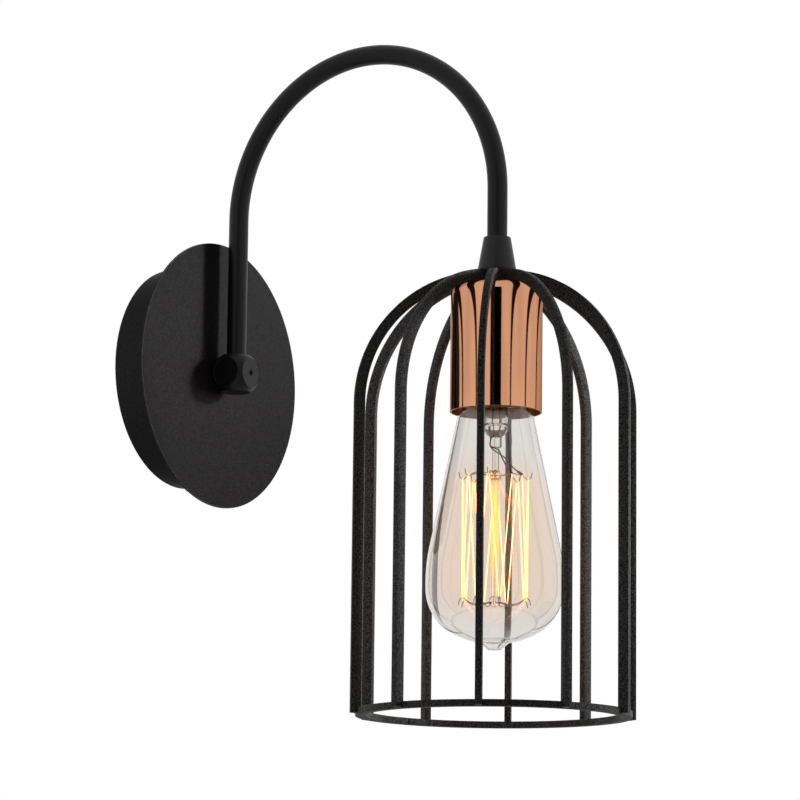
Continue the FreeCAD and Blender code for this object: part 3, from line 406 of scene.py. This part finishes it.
def leaveEdit(angle=sharpEdge):
    bpy.ops.object.mode_set(mode="OBJECT")
    smooth(angle)


def soften(width, segments=2):
    # in edit mode: rounds off every sharp edge
    bpy.ops.mesh.select_mode(type="EDGE")
    bpy.ops.mesh.select_all(action="DESELECT")
    bpy.ops.mesh.edges_select_sharp(sharpness=math.radians(sharpEdge))
    bpy.ops.mesh.bevel(offset=width, segments=segments)


def putAt(piece, place=(0, 0, 0), turn=(0, 0, 0)):
    only(piece)
    piece.location = place
    piece.rotation_euler = [math.radians(angle) for angle in turn]
    bpy.ops.object.transform_apply(location=True, rotation=True, scale=True)


def finish(piece, *nodes, body="root", material=None):
    # the piece stands for its nodes, wears their finish and rides on their body
    if material or not piece.data.materials:
        piece.data.materials.clear()
        piece.data.materials.append(material or finishes[slotOf[nodes[0]]])
    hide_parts(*nodes)
    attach(piece, body)


def rounded(corners, steps=8):
    # a closed outline, its corners (radius, height, rounding) rounded off with arcs
    points = []
    for number, corner in enumerate(corners):
        here = Vector(corner[:2])
        if len(corner) == 2:
            points.append(here)
            continue
        back = (Vector(corners[number - 1][:2]) - here).normalized()
        ahead = (Vector(corners[(number + 1) % len(corners)][:2]) - here).normalized()
        half = back.angle(ahead) / 2
        middle = here + (back + ahead).normalized() * corner[2] / math.sin(half)
        start = here + back * corner[2] / math.tan(half) - middle
        end = here + ahead * corner[2] / math.tan(half) - middle
        swing = math.atan2(start.cross(end), start.dot(end))
        for step in range(steps + 1):
            points.append(middle + Matrix.Rotation(swing * step / steps, 2) @ start)
    return points + points[:1]


def turned(name, outline, sides=128):
    # a ring of edges is extruded from point to point of the outline (radius, height), in millimetres
    pole = 0.0005
    points = [(max(point[0], pole) * mm, point[1] * mm) for point in outline]
    radius, height = points[0]
    bpy.ops.object.select_all(action="DESELECT")
    bpy.ops.mesh.primitive_circle_add(vertices=sides, radius=radius, location=(0, 0, 0))
    piece = begin(name)
    bpy.ops.mesh.select_all(action="SELECT")
    bpy.ops.transform.translate(value=(0, 0, height))
    for nextRadius, nextHeight in points[1:]:
        bpy.ops.mesh.extrude_edges_move(TRANSFORM_OT_translate={"value": (0, 0, nextHeight - height)})
        swell = nextRadius / radius
        bpy.ops.transform.resize(value=(swell, swell, 1), center_override=(0, 0, nextHeight))
        radius, height = nextRadius, nextHeight
    weld()
    leaveEdit()
    return piece


def wire(name, route, diameter, resolution=3):
    # one vertex is extruded along the route, and the chain becomes a round wire with closed ends
    bpy.ops.object.select_all(action="DESELECT")
    bpy.ops.mesh.primitive_plane_add(size=diameter, location=(0, 0, 0))
    begin(name)
    bpy.ops.mesh.select_all(action="SELECT")
    bpy.ops.mesh.merge(type="CENTER")
    bpy.ops.transform.translate(value=route[0])
    for here, after in zip(route, route[1:]):
        bpy.ops.mesh.extrude_vertices_move(TRANSFORM_OT_translate={"value": after - here})
    bpy.ops.object.mode_set(mode="OBJECT")
    bpy.ops.object.convert(target="CURVE")
    chain = bpy.context.object.data
    chain.bevel_depth = diameter / 2
    chain.bevel_resolution = resolution
    chain.use_fill_caps = True
    bpy.ops.object.convert(target="MESH")
    smooth(40)
    return bpy.context.object


def addWall(piece, thickness):
    # the surface becomes the outside of a wall
    wall = piece.modifiers.new("wall", "SOLIDIFY")
    wall.thickness = thickness
    wall.offset = -1
    bpy.ops.object.modifier_apply(modifier="wall")


def cut(piece, cutter, turn):
    # takes the turned cutter out of the piece
    putAt(cutter, turn=turn)
    only(piece)
    difference = piece.modifiers.new("cut", "BOOLEAN")
    difference.object = cutter
    difference.solver = "EXACT"
    bpy.ops.object.modifier_apply(modifier="cut")
    bpy.data.objects.remove(cutter)


def turnedCopies(pattern, turns):
    # the pattern gives way to copies with their own meshes, turned about Z
    copies = []
    for degrees in turns:
        only(pattern)
        bpy.ops.object.duplicate(linked=False)
        copy = bpy.context.object
        copy.matrix_world = Matrix.Rotation(math.radians(degrees), 4, "Z")
        bpy.ops.object.transform_apply(location=True, rotation=True, scale=True)
        copies.append(copy)
    bpy.data.objects.remove(pattern)
    return copies


def joined(name, pieces):
    bpy.ops.object.select_all(action="DESELECT")
    for piece in pieces:
        piece.select_set(True)
    bpy.context.view_layer.objects.active = pieces[0]
    bpy.ops.object.join()
    pieces[0].name = name
    return pieces[0]


# Round base: the disc in front of the pan
discSizes = {"hole": 5.0, "edge": 0.3, "sides": 192}


def frontDisc():
    sizes = discSizes
    low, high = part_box("front_disc")
    back, front = -high.y / mm, -low.y / mm
    radius = high.x / mm
    piece = turned("frontDisc", rounded([
        (sizes["hole"], back), (radius, back, sizes["edge"]), (radius, front, sizes["edge"]),
        (sizes["hole"], front)]), sizes["sides"])
    # painted highlight: the faces of the front edge take a lighter copy of the black paint, for the light
    # they catch
    piece.data.materials.append(finishes["satin_black"])
    piece.data.materials.append(rimHighlightFinish)
    bpy.ops.object.mode_set(mode="EDIT")
    edge = (radius - sizes["edge"]) * mm, (front - sizes["edge"]) * mm
    pickFaces(piece, lambda middle: middle.xy.length > edge[0] and middle.z > edge[1])
    piece.active_material_index = 1
    bpy.ops.object.material_slot_assign()
    bpy.ops.object.mode_set(mode="OBJECT")
    putAt(piece, turn=(90, 0, 0))
    finish(piece, "front_disc")


# Knuckle: a ball cut flat on six sides, with a fine rim round each flat and the set screw's hole in front
knuckleSizes = {"ball": 23.0, "sides": 160, "screwHole": 3.1, "holeDepth": 4.2, "holeSides": 48,
                "rim": 0.3, "rimDrop": 0.12, "clear": 5.0, "past": 4.0, "sliver": 0.006, "smooth": 15}


def knuckle():
    sizes = knuckleSizes
    half = (knuckleHigh.x - knuckleLow.x) / 2 / mm
    radius = sizes["ball"] / 2
    flat = math.sqrt(radius ** 2 - half ** 2)
    floor, top = half - sizes["rimDrop"], radius + sizes["past"]
    wide = flat + sizes["clear"]
    bpy.ops.object.select_all(action="DESELECT")
    bpy.ops.mesh.primitive_uv_sphere_add(segments=sizes["sides"], ring_count=sizes["sides"] // 2,
                                         radius=radius * mm)
    piece = begin("knuckle")
    bpy.ops.object.mode_set(mode="OBJECT")
    slope = sizes["rimDrop"] / sizes["rim"]
    dish = [(0, floor), (flat - sizes["rim"], floor), (wide, half + sizes["clear"] * slope),
            (wide, top), (0, top)]
    for turn in ((0, 0, 0), (90, 0, 0), (180, 0, 0), (270, 0, 0), (0, 90, 0), (0, 270, 0)):
        cut(piece, turned("flatCutter", dish), turn)
    hole = [(0, half - sizes["holeDepth"]), (sizes["screwHole"] / 2, half - sizes["holeDepth"]),
            (sizes["screwHole"] / 2, top), (0, top)]
    cut(piece, turned("holeCutter", hole, sizes["holeSides"]), (90, 0, 0))
    # the cuts leave slivers
    only(piece)
    bpy.ops.object.mode_set(mode="EDIT")
    weld(sizes["sliver"] * mm)
    bpy.ops.mesh.dissolve_degenerate(threshold=0.002 * mm)
    leaveEdit(sizes["smooth"])
    putAt(piece, knucklePlace)
    finish(piece, "knuckle_cube", material=knuckleFinish)


# Arm: a ring of edges goes up from the knuckle, round the half circle and down into the head
armSizes = {"diameter": 9.5, "wall": 1.0, "foot": -6.0, "spring": 76.0, "end": 22.3,
            "sides": 48, "steps": 96}


def arm():
    sizes = armSizes
    half = (knucklePlace.y - headPlace.y) / 2
    crown = Vector((0, knucklePlace.y - half, sizes["spring"] * mm))
    bpy.ops.object.select_all(action="DESELECT")
    bpy.ops.mesh.primitive_circle_add(vertices=sizes["sides"], radius=sizes["diameter"] / 2 * mm,
                                      location=(0, 0, 0))
    piece = begin("arm")
    bpy.ops.mesh.select_all(action="SELECT")
    bpy.ops.transform.translate(value=(0, knucklePlace.y, sizes["foot"] * mm))
    rise = (sizes["spring"] - sizes["foot"]) * mm
    bpy.ops.mesh.extrude_edges_move(TRANSFORM_OT_translate={"value": (0, 0, rise)})
    bpy.ops.mesh.spin(steps=sizes["steps"], angle=math.pi, center=crown, axis=(-1, 0, 0))
    fall = (sizes["spring"] - sizes["end"]) * mm
    bpy.ops.mesh.extrude_edges_move(TRANSFORM_OT_translate={"value": (0, 0, -fall)})
    weld()
    bpy.ops.object.mode_set(mode="OBJECT")
    addWall(piece, sizes["wall"] * mm)
    smooth()
    finish(piece, "arm_tube", material=armShadeFinish)


# Cone collar between the arm and the cage
coneSizes = {"bottom": 9.15, "top": 6.4, "height": 16.0, "bore": 5.0, "edge": 0.2}


def coneCollar():
    sizes = coneSizes
    piece = turned("coneCollar", rounded([
        (sizes["bore"], 0), (sizes["bottom"], 0, sizes["edge"]),
        (sizes["top"], sizes["height"], sizes["edge"]), (sizes["bore"], sizes["height"])]))
    putAt(piece, headPlace)
    finish(piece, "cone_collar", material=coneShadeFinish)


# Cage: ten bars bent over a dome and welded to a slit ring
cageSizes = {"radius": 67.0, "dome": 65.0, "height": 209.0, "width": 5.0, "thickness": 3.0, "edge": 0.14,
             "phase": 7.0, "ribs": 10, "foot": 3.3, "lift": 0.5, "start": 8.7, "steps": 40,
             "ringWidth": 5.0, "ringHeight": 3.0, "ringSteps": 180, "slit": 0.9, "slitTurn": 163.0}
weldSizes = {"reach": (1.5, 1.9, 0.42), "inset": 0.3, "sides": 24, "smooth": 60}


def ribTurns():
    sizes = cageSizes
    return [sizes["phase"] - 90 + number * 360 / sizes["ribs"] for number in range(sizes["ribs"])]


def cageRib():
    sizes = cageSizes
    close = 0.01 * mm
    centre = sizes["radius"] - sizes["dome"]
    first = math.asin((sizes["start"] - centre) / sizes["dome"])
    bpy.ops.object.select_all(action="DESELECT")
    bpy.ops.mesh.primitive_plane_add(size=mm, location=(0, 0, 0))
    piece = begin("cageRib")
    bpy.ops.mesh.select_all(action="SELECT")
    bpy.ops.transform.resize(value=(sizes["width"], sizes["thickness"], 1), center_override=(0, 0, 0))
    bpy.ops.transform.translate(value=((sizes["radius"] - sizes["width"] / 2) * mm, 0, -sizes["dome"] * mm))
    # down to the ring, and the outer part of the foot past it
    drop = sizes["height"] - sizes["dome"] - sizes["ringHeight"]
    bpy.ops.mesh.extrude_region_move(TRANSFORM_OT_translate={"value": (0, 0, -drop * mm)})
    notch = (sizes["radius"] - sizes["foot"]) * mm
    bpy.ops.mesh.bisect(plane_co=(notch, 0, 0), plane_no=(1, 0, 0))
    floor = -(sizes["height"] - sizes["ringHeight"]) * mm
    pickFaces(piece, lambda middle: middle.x > notch and abs(middle.z - floor) < close)
    foot = sizes["ringHeight"] - sizes["lift"]
    bpy.ops.mesh.extrude_region_move(TRANSFORM_OT_translate={"value": (0, 0, -foot * mm)})
    # back over the dome to the hub
    pickFaces(piece, lambda middle: abs(middle.z + sizes["dome"] * mm) < close)
    bpy.ops.mesh.spin(steps=sizes["steps"], angle=math.pi / 2 - first,
                      center=(centre * mm, 0, -sizes["dome"] * mm), axis=(0, 1, 0))
    weld()
    soften(sizes["edge"] * mm)
    leaveEdit()
    return piece


def weldBead():
    # a small brown run of weld under the joint of a foot and the ring
    sizes = weldSizes
    bpy.ops.object.select_all(action="DESELECT")
    bpy.ops.mesh.primitive_uv_sphere_add(segments=sizes["sides"], ring_count=sizes["sides"] // 2, radius=mm,
                                         location=(0, 0, 0))
    bead = begin("weldBead")
    bpy.ops.mesh.select_all(action="SELECT")
    bpy.ops.transform.resize(value=sizes["reach"], center_override=(0, 0, 0))
    outer = cageSizes["radius"] - cageSizes["foot"] + sizes["inset"]
    level = cageSizes["lift"] - cageSizes["height"]
    bpy.ops.transform.translate(value=(outer * mm, 0, level * mm))
    leaveEdit(sizes["smooth"])
    bead.data.materials.append(weldFinish)
    return bead


def cageRibs():
    for number, rib in enumerate(turnedCopies(cageRib(), ribTurns()), 1):
        rib.name = "cageRib%02d" % number
        putAt(rib, headPlace)
        finish(rib, "cage_rib_%02d" % number)


def cageRing():
    # a bar spun round to a ring that stops short of its start, with a bead under each foot
    sizes = cageSizes
    outer = sizes["radius"] - sizes["foot"]
    middle = outer - sizes["ringWidth"] / 2
    bpy.ops.object.select_all(action="DESELECT")
    bpy.ops.mesh.primitive_plane_add(size=mm, location=(0, 0, 0))
    ring = begin("cageRing")
    bpy.ops.mesh.select_all(action="SELECT")
    bpy.ops.transform.rotate(value=math.pi / 2, orient_axis="X", center_override=(0, 0, 0))
    bpy.ops.transform.resize(value=(sizes["ringWidth"], 1, sizes["ringHeight"]), center_override=(0, 0, 0))
    bpy.ops.transform.translate(value=(middle * mm, 0, (sizes["ringHeight"] / 2 - sizes["height"]) * mm))
    gap = sizes["slit"] / middle
    bpy.ops.mesh.spin(steps=sizes["ringSteps"], angle=2 * math.pi - gap, center=(0, 0, 0), axis=(0, 0, 1))
    weld()
    soften(sizes["edge"] * mm)
    leaveEdit()
    putAt(ring, turn=(0, 0, sizes["slitTurn"] - 90 + math.degrees(gap) / 2))
    ring.data.materials.append(finishes["sand_black"])
    ring = joined("cageRing", [ring] + turnedCopies(weldBead(), ribTurns()))
    putAt(ring, headPlace)
    finish(ring, "cage_ring")


# Copper cup, spun from one sheet
cupSizes = {"radius": 21.5, "top": -7.2, "bottom": -67.0, "wall": 0.8, "shoulder": 5.0, "hole": 5.0,
            "sides": 192, "steps": 16}


def copperCup():
    sizes = cupSizes
    inside, under = sizes["radius"] - sizes["wall"], sizes["top"] - sizes["wall"]
    piece = turned("copperCup", rounded([
        (sizes["hole"], sizes["top"]), (sizes["radius"], sizes["top"], sizes["shoulder"]),
        (sizes["radius"], sizes["bottom"]), (inside, sizes["bottom"]),
        (inside, under, sizes["shoulder"] - sizes["wall"]), (sizes["hole"], under)], sizes["steps"]),
        sizes["sides"])
    putAt(piece, headPlace)
    finish(piece, "cup_shell")


# Rolled threads of the bulb's cap and of the shell that takes it
threadSizes = {"pitch": 3.63, "wall": 0.4, "sides": 96, "steps": 36, "fade": 4}
capSizes = {"eye": 9.0, "rim": 11.5, "root": 12.15, "shoulder": 2.9, "skirt": 1.6, "flare": 1.2,
            "rimBend": 0.3, "rootBend": 0.8, "skirtBend": 0.5,
            "ridge": 11.9, "wire": 2.4, "sink": -1.3, "low": 2.6, "high": 1.2}
shellSizes = {"eye": 7.0, "ridge": 0.05, "wire": 0.7, "sink": 0.2, "low": 2.0, "high": 4.0}


def around(radius, degrees, height):
    turn = math.radians(degrees)
    return Vector((radius * math.cos(turn), radius * math.sin(turn), height)) * mm


def ridge(radius, low, high, sink):
    # the route of a right-hand thread, whose ends sink into the wall
    turns = (high - low) / threadSizes["pitch"]
    steps = round(threadSizes["steps"] * turns)
    fade = threadSizes["fade"]
    route = []
    for step in range(steps + 1):
        dive = sink * max(1 - step / fade, 1 - (steps - step) / fade, 0)
        route.append(around(radius + dive, 360 * turns * step / steps, low + (high - low) * step / steps))
    return route


def bulbCap():
    sizes, wall = capSizes, threadSizes["wall"]
    low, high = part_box("bulb_cap")
    top, bottom = (high.z - bulbPlace.z) / mm, (low.z - bulbPlace.z) / mm
    rim, root, crest = sizes["rim"], sizes["root"], high.x / mm
    shoulder, skirt = top - sizes["shoulder"], bottom + sizes["skirt"]
    flare, bend = skirt + sizes["flare"], sizes["rootBend"]
    shell = turned("bulbCap", rounded([
        (sizes["eye"], top), (rim, top, sizes["rimBend"]), (root, shoulder, bend), (root, flare, bend),
        (crest, skirt, sizes["skirtBend"]), (crest, bottom), (crest - wall, bottom), (crest - wall, skirt),
        (root - wall, flare), (root - wall, shoulder), (rim - wall, top - wall),
        (sizes["eye"], top - wall)]), threadSizes["sides"])
    route = ridge(sizes["ridge"], skirt + sizes["low"], shoulder - sizes["high"], sizes["sink"])
    thread = wire("capThread", route, sizes["wire"] * mm, 5)
    piece = joined("bulbCap", [shell, thread])
    putAt(piece, bulbPlace)
    finish(piece, "bulb_cap", body="bulb")


def holderShell():
    sizes, wall = shellSizes, threadSizes["wall"]
    low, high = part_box("lampholder_shell")
    top, bottom = (high.z - headPlace.z) / mm, (low.z - headPlace.z) / mm
    outer, inner = high.x / mm, high.x / mm - wall
    shell = turned("holderShell", rounded([
        (sizes["eye"], top), (outer, top), (outer, bottom), (inner, bottom), (inner, top - wall),
        (sizes["eye"], top - wall)]), threadSizes["sides"])
    route = ridge(inner - sizes["ridge"], bottom + sizes["low"], top - sizes["high"], sizes["sink"])
    thread = wire("shellThread", route, sizes["wire"] * mm)
    piece = joined("holderShell", [shell, thread])
    putAt(piece, headPlace)
    finish(piece, "lampholder_shell")


# Bulb: blown glass with its stem, hooks, filament and leads. Corners are (radius, height, rounding).
glassSizes = {"neck": ((0, -16.0), (11.5, -16.0), (11.5, -27.0, 2.5), (17.4, -31.0, 5)),
              "belly": ((32.0, -102.18, 80), (32.0, -130.18, 24), (11.0, -137.8, 12)),
              "pip": ((7.2, -138.4, 3), (2.8, -142.0, 1.2), (0, -142.0)),
              "wall": 0.8, "sides": 160, "steps": 12, "smooth": 60}


def glassEnvelope():
    sizes = glassSizes
    outline = rounded(sizes["neck"] + sizes["belly"] + sizes["pip"], sizes["steps"])
    piece = turned("bulbGlass", outline[1:-1], sizes["sides"])
    addWall(piece, sizes["wall"] * mm)
    smooth(sizes["smooth"])
    putAt(piece, bulbPlace)
    piece.visible_shadow = False
    finish(piece, "bulb_glass", body="bulb")


# Stem: a flared tube closed in a ball and a pinch, then a rod with two beads
stemSizes = {"bore": ((0, -38.0), (4.7, -38.0, 2.5), (4.7, -21.1, 6), (10.1, -15.1)),
             "rim": ((11.5, -15.1), (11.5, -16.0), (10.1, -16.0)),
             "tube": ((5.6, -22.0, 6), (5.6, -41.0, 4)),
             "pinch": ((2.8, -42.6, 0.8), (2.8, -47.8, 0.8), (1.65, -47.8)),
             "rod": 1.65, "bead": 2.8, "half": 2.6, "band": 1.3, "beadBend": 1.5,
             "upper": -61.0, "lower": -119.7, "sides": 64}


def stem():
    sizes = stemSizes
    corners = [*sizes["bore"], *sizes["rim"], *sizes["tube"], *sizes["pinch"]]
    for level in (sizes["upper"], sizes["lower"]):
        corners += [(sizes["rod"], level + sizes["half"]),
                    (sizes["bead"], level + sizes["band"], sizes["beadBend"]),
                    (sizes["bead"], level - sizes["band"], sizes["beadBend"]),
                    (sizes["rod"], level - sizes["half"])]
    corners[-1] = (0, sizes["lower"] - sizes["half"])
    piece = turned("bulbStem", rounded(corners)[:-1], sizes["sides"])
    putAt(piece, bulbPlace)
    piece.visible_shadow = False
    finish(piece, "bulb_stem", body="bulb", material=stemFinish)


# The bow and tip of a hook are (radius, rise). The path of a lead is (radius, angle, share of the twist,
# level) down the pinch, and (radius, angle, level) from there out to the filament.
filamentSizes = {"wire": 0.5, "bend": 0.5, "bendSteps": 8, "radius": 15.3, "drop": 0.9,
                 "phase": 72.5, "pitch": 42.0, "lowerHooks": 8}
hookSizes = {"wire": 0.4, "start": 2.1, "depth": 0.45, "bow": ((7.5, 1.3), (12.0, 0.5)),
             "tip": ((-0.9, 0.25), (0.2, 0), (1.4, 1.2), (1.9, 3.2))}
leadSizes = {"wire": 0.6, "crimpWire": 1.2, "crimpLength": 3.2, "lift": 0.3,
             "pinch": ((2.9, 60, 1, -24), (2.4, 75, 1, -38), (1.6, 130, 0, -43), (2.9, 150, 0, -46.8),
                       (3.0, 196, 0.25, -49.4)),
             "outward": ((4.6, 8, -52.6), (10.5, 2, -58.4))}


def hookAngles():
    # the lower hooks, the upper ones between them and the leads beyond them
    sizes = filamentSizes
    count = sizes["lowerHooks"]
    lower = [sizes["phase"] + (number - (count - 1) / 2) * sizes["pitch"] for number in range(count)]
    upper = [(first + second) / 2 for first, second in zip(lower, lower[1:])]
    return lower, upper, (lower[0] - sizes["pitch"] / 2, lower[-1] + sizes["pitch"] / 2)


def curved(points, steps=6):
    # a smooth route through the points
    route = []
    for number in range(len(points) - 1):
        before = points[max(number - 1, 0)]
        here, after = points[number], points[number + 1]
        beyond = points[min(number + 2, len(points) - 1)]
        for step in range(steps):
            share = step / steps
            route.append(0.5 * (2 * here + (after - before) * share
                                + (2 * before - 5 * here + 4 * after - beyond) * share ** 2
                                + (3 * here - before - 3 * after + beyond) * share ** 3))
    return route + [points[-1]]


def hookRoute(level, side):
    # out of the bead in a shallow bow, through the filament's bend, and a tip curled back
    radius, bend = filamentSizes["radius"], level - side * (filamentSizes["drop"] + hookSizes["depth"])
    points = [around(hookSizes["start"], 0, level)]
    points += [around(reach, 0, level + side * rise) for reach, rise in hookSizes["bow"]]
    points += [around(radius + reach, 0, bend + side * rise) for reach, rise in hookSizes["tip"]]
    return curved(points)


def leadRoute(degrees, twist):
    # down the pinch, out on its side, across the rod and out to the end of the filament
    sizes = leadSizes
    points = [around(reach, angle + share * twist, level) for reach, angle, share, level in sizes["pinch"]]
    points += [around(reach, degrees + angle, level) for reach, angle, level in sizes["outward"]]
    end = stemSizes["upper"] - filamentSizes["drop"] + sizes["lift"]
    return curved(points + [around(filamentSizes["radius"], degrees, end)])


def bulbHooks():
    lower, upper = hookAngles()[:2]
    hooks = []
    for angles, level, side in ((upper, stemSizes["upper"], 1), (lower, stemSizes["lower"], -1)):
        hooks += turnedCopies(wire("hook", hookRoute(level, side), hookSizes["wire"] * mm, 2), angles)
    piece = joined("bulbHooks", hooks)
    putAt(piece, bulbPlace)
    finish(piece, "bulb_supports", body="bulb")


def bulbFilament():
    # from lead to lead, with a half circle round each hook
    sizes = filamentSizes
    lower, upper, leads = hookAngles()
    top, bottom = stemSizes["upper"] - sizes["drop"], stemSizes["lower"] + sizes["drop"]
    turns = sorted([(angle, bottom, -1) for angle in lower] + [(angle, top, 1) for angle in upper])
    route = [around(sizes["radius"], leads[0], top)]
    for angle, level, side in turns:
        for step in range(sizes["bendSteps"] + 1):
            swing = math.radians(180 * step / sizes["bendSteps"])
            aside = math.degrees(sizes["bend"] / sizes["radius"]) * math.cos(swing)
            rise = side * sizes["bend"] * (math.sin(swing) - 1)
            route.append(around(sizes["radius"], angle - aside, level + rise))
    route.append(around(sizes["radius"], leads[1], top))
    piece = wire("bulbFilament", route, sizes["wire"] * mm, 2)
    putAt(piece, bulbPlace)
    piece.visible_shadow = False
    finish(piece, "bulb_filament", body="bulb")


def bulbLeads():
    sizes = leadSizes
    rods = []
    for angle, twist in zip(hookAngles()[2], (0, 180)):
        route = leadRoute(angle, twist)
        rods.append(wire("lead", route, sizes["wire"] * mm))
        inward = (route[-2] - route[-1]).normalized() * sizes["crimpLength"] * mm
        rods.append(wire("crimp", [route[-1] + inward, route[-1]], sizes["crimpWire"] * mm))
    piece = joined("bulbLeads", rods)
    putAt(piece, bulbPlace)
    finish(piece, "bulb_lead_wires", body="bulb", material=leadFinish)


frontDisc()
knuckle()
print("base made")
arm()
coneCollar()
print("arm made")
cageRibs()
cageRing()
copperCup()
print("cage and cup made")
bulbCap()
holderShell()
print("threads made")
glassEnvelope()
stem()
bulbHooks()
bulbFilament()
bulbLeads()
print("bulb made")


# Stage, in metres: a pale floor under the light, soft lamps, and a world that is white wherever it is seen
stageSizes = {"floorLevel": -1.5, "floorSize": 14.0, "floorColour": grey(0.86), "floorWhite": 0.8,
              "skyLight": grey(0.12), "skySeen": grey(1.0),
              "cardWidth": 1.07, "cardHeight": 1.6, "cardDistance": 2.2, "cardRise": 0.25, "cardTurn": -60.5,
              "cardColour": grey(0.003)}
lampSizes = {
    "keyLamp": {"place": (0.7, -0.7, 0.15), "aim": (0, -0.14, -0.1), "size": 0.35, "power": 4.5},
    "sideLamp": {"place": (-0.25, 0.12, 0.02), "aim": (0, -0.12, -0.06), "size": 0.15, "power": 0.35},
    "backLamp": {"place": (0.4, 1.1, 0.4), "aim": (0, -0.1, 0), "size": 0.8, "power": 9},
}
beamSizes = {
    "discBeam": {"place": (0.7, -0.7, 0.4), "aim": (-0.02, -0.024, 0.1), "angle": 12, "blend": 1.0,
                 "soft": 0.16, "power": 300},
    "cageBeam": {"place": (0.63, -0.88, 0), "aim": (0, -0.2, -0.1), "angle": 12.6, "blend": 0.4,
                 "soft": 0.08, "power": 36},
}


def lamp(kind, name, sizes):
    place = Vector(sizes["place"])
    turn = (Vector(sizes["aim"]) - place).to_track_quat("-Z", "Y").to_euler()
    bpy.ops.object.light_add(type=kind, location=place, rotation=turn)
    light = bpy.context.object
    light.name = name
    light.visible_glossy = False
    light.visible_transmission = False
    light.data.energy = sizes["power"]
    return light.data


def seenRays(web):
    # 1 for what the camera, metal and glass see, and 0 for the light that falls on the object
    rays = web.tree.nodes.new("ShaderNodeLightPath").outputs
    seen = Value(web, rays["Is Camera Ray"])
    for label in ("Is Glossy Ray", "Is Transmission Ray"):
        seen = seen.maths("MAXIMUM", seen, Value(web, rays[label]))
    return seen


def floorPaint():
    # matt to the lamps, so that it takes a shadow, and pale wherever it is seen
    paint = Surface("floorPaint", baseColor=stageSizes["floorColour"], roughness=0.8)
    pale = paint.node("ShaderNodeEmission", None, {"Color": grey(1.0), "Strength": 1.0})
    matt = Value(paint, paint.shader.outputs[0])
    share = seenRays(paint) * stageSizes["floorWhite"]
    mixed = paint.node("ShaderNodeMixShader", None, {0: share, 1: matt, 2: pale})
    paint.give(paint.tree.nodes["Material Output"].inputs["Surface"], mixed)
    return paint.material


def plainFloor():
    sizes = stageSizes
    bpy.ops.object.select_all(action="DESELECT")
    bpy.ops.mesh.primitive_plane_add(size=sizes["floorSize"], location=(0, 0, sizes["floorLevel"]))
    floor = bpy.context.object
    floor.name = "floor"
    floor.data.materials.append(floorPaint())


def blackCard():
    # stands behind the camera and is only ever seen mirrored
    sizes = stageSizes
    turn = math.radians(sizes["cardTurn"])
    away = Vector((math.sin(turn), -math.cos(turn), 0)) * sizes["cardDistance"]
    place = headPlace + away + Vector((0, 0, sizes["cardRise"]))
    bpy.ops.mesh.primitive_plane_add(size=1, location=place, rotation=(math.pi / 2, 0, turn))
    card = bpy.context.object
    card.name = "blackCard"
    card.scale = (sizes["cardWidth"], sizes["cardHeight"], 1)
    flock = Surface("blackFlock", baseColor=sizes["cardColour"], roughness=1.0, specularIorLevel=0)
    card.data.materials.append(flock.material)
    card.visible_camera = False
    card.visible_transmission = False


def lamps():
    for name, sizes in lampSizes.items():
        area = lamp("AREA", name, sizes)
        area.shape = "DISK"
        area.size = sizes["size"]
    for name, sizes in beamSizes.items():
        beam = lamp("SPOT", name, sizes)
        beam.spot_size = math.radians(sizes["angle"])
        beam.spot_blend = sizes["blend"]
        beam.shadow_soft_size = sizes["soft"]


def world():
    sky = bpy.data.worlds.new("studio")
    bpy.context.scene.world = sky
    sky.use_nodes = True
    web = Web(sky.node_tree)
    sky.node_tree.nodes.clear()
    lit = web.node("ShaderNodeBackground", None, {"Color": stageSizes["skyLight"], "Strength": 1.0})
    white = web.node("ShaderNodeBackground", None, {"Color": stageSizes["skySeen"], "Strength": 1.0})
    mixed = web.node("ShaderNodeMixShader", None, {0: seenRays(web), 1: lit, 2: white})
    output = sky.node_tree.nodes.new("ShaderNodeOutputWorld")
    web.give(output.inputs["Surface"], mixed)


cameraSizes = {"turn": -57.5, "lift": -9.5, "roll": 0.66, "distance": 1.8, "lens": 169.4, "sensor": 36.0,
               "target": (0, -0.1, 0), "right": 0.0236, "up": -0.01765}


def camera():
    sizes = cameraSizes
    turn, lift, roll = (math.radians(sizes[name]) for name in ("turn", "lift", "roll"))
    back = Vector((math.sin(turn) * math.cos(lift), -math.cos(turn) * math.cos(lift), math.sin(lift)))
    right = Vector((math.cos(turn), math.sin(turn), 0))
    up = back.cross(right)
    target = Vector(sizes["target"]) + right * sizes["right"] + up * sizes["up"]
    rolledRight = right * math.cos(roll) + up * math.sin(roll)
    rolledUp = up * math.cos(roll) - right * math.sin(roll)
    place = target + back * sizes["distance"]
    bpy.ops.object.camera_add(location=place)
    eye = bpy.context.object
    eye.name = "camera"
    eye.rotation_euler = Matrix((rolledRight, rolledUp, back)).transposed().to_euler()
    eye.data.lens = sizes["lens"]
    eye.data.sensor_width = sizes["sensor"]
    bpy.context.scene.camera = eye


plainFloor()
blackCard()
lamps()
world()
camera()
bpy.context.scene.view_settings.view_transform = "Standard"
print("stage, lamps and camera set")
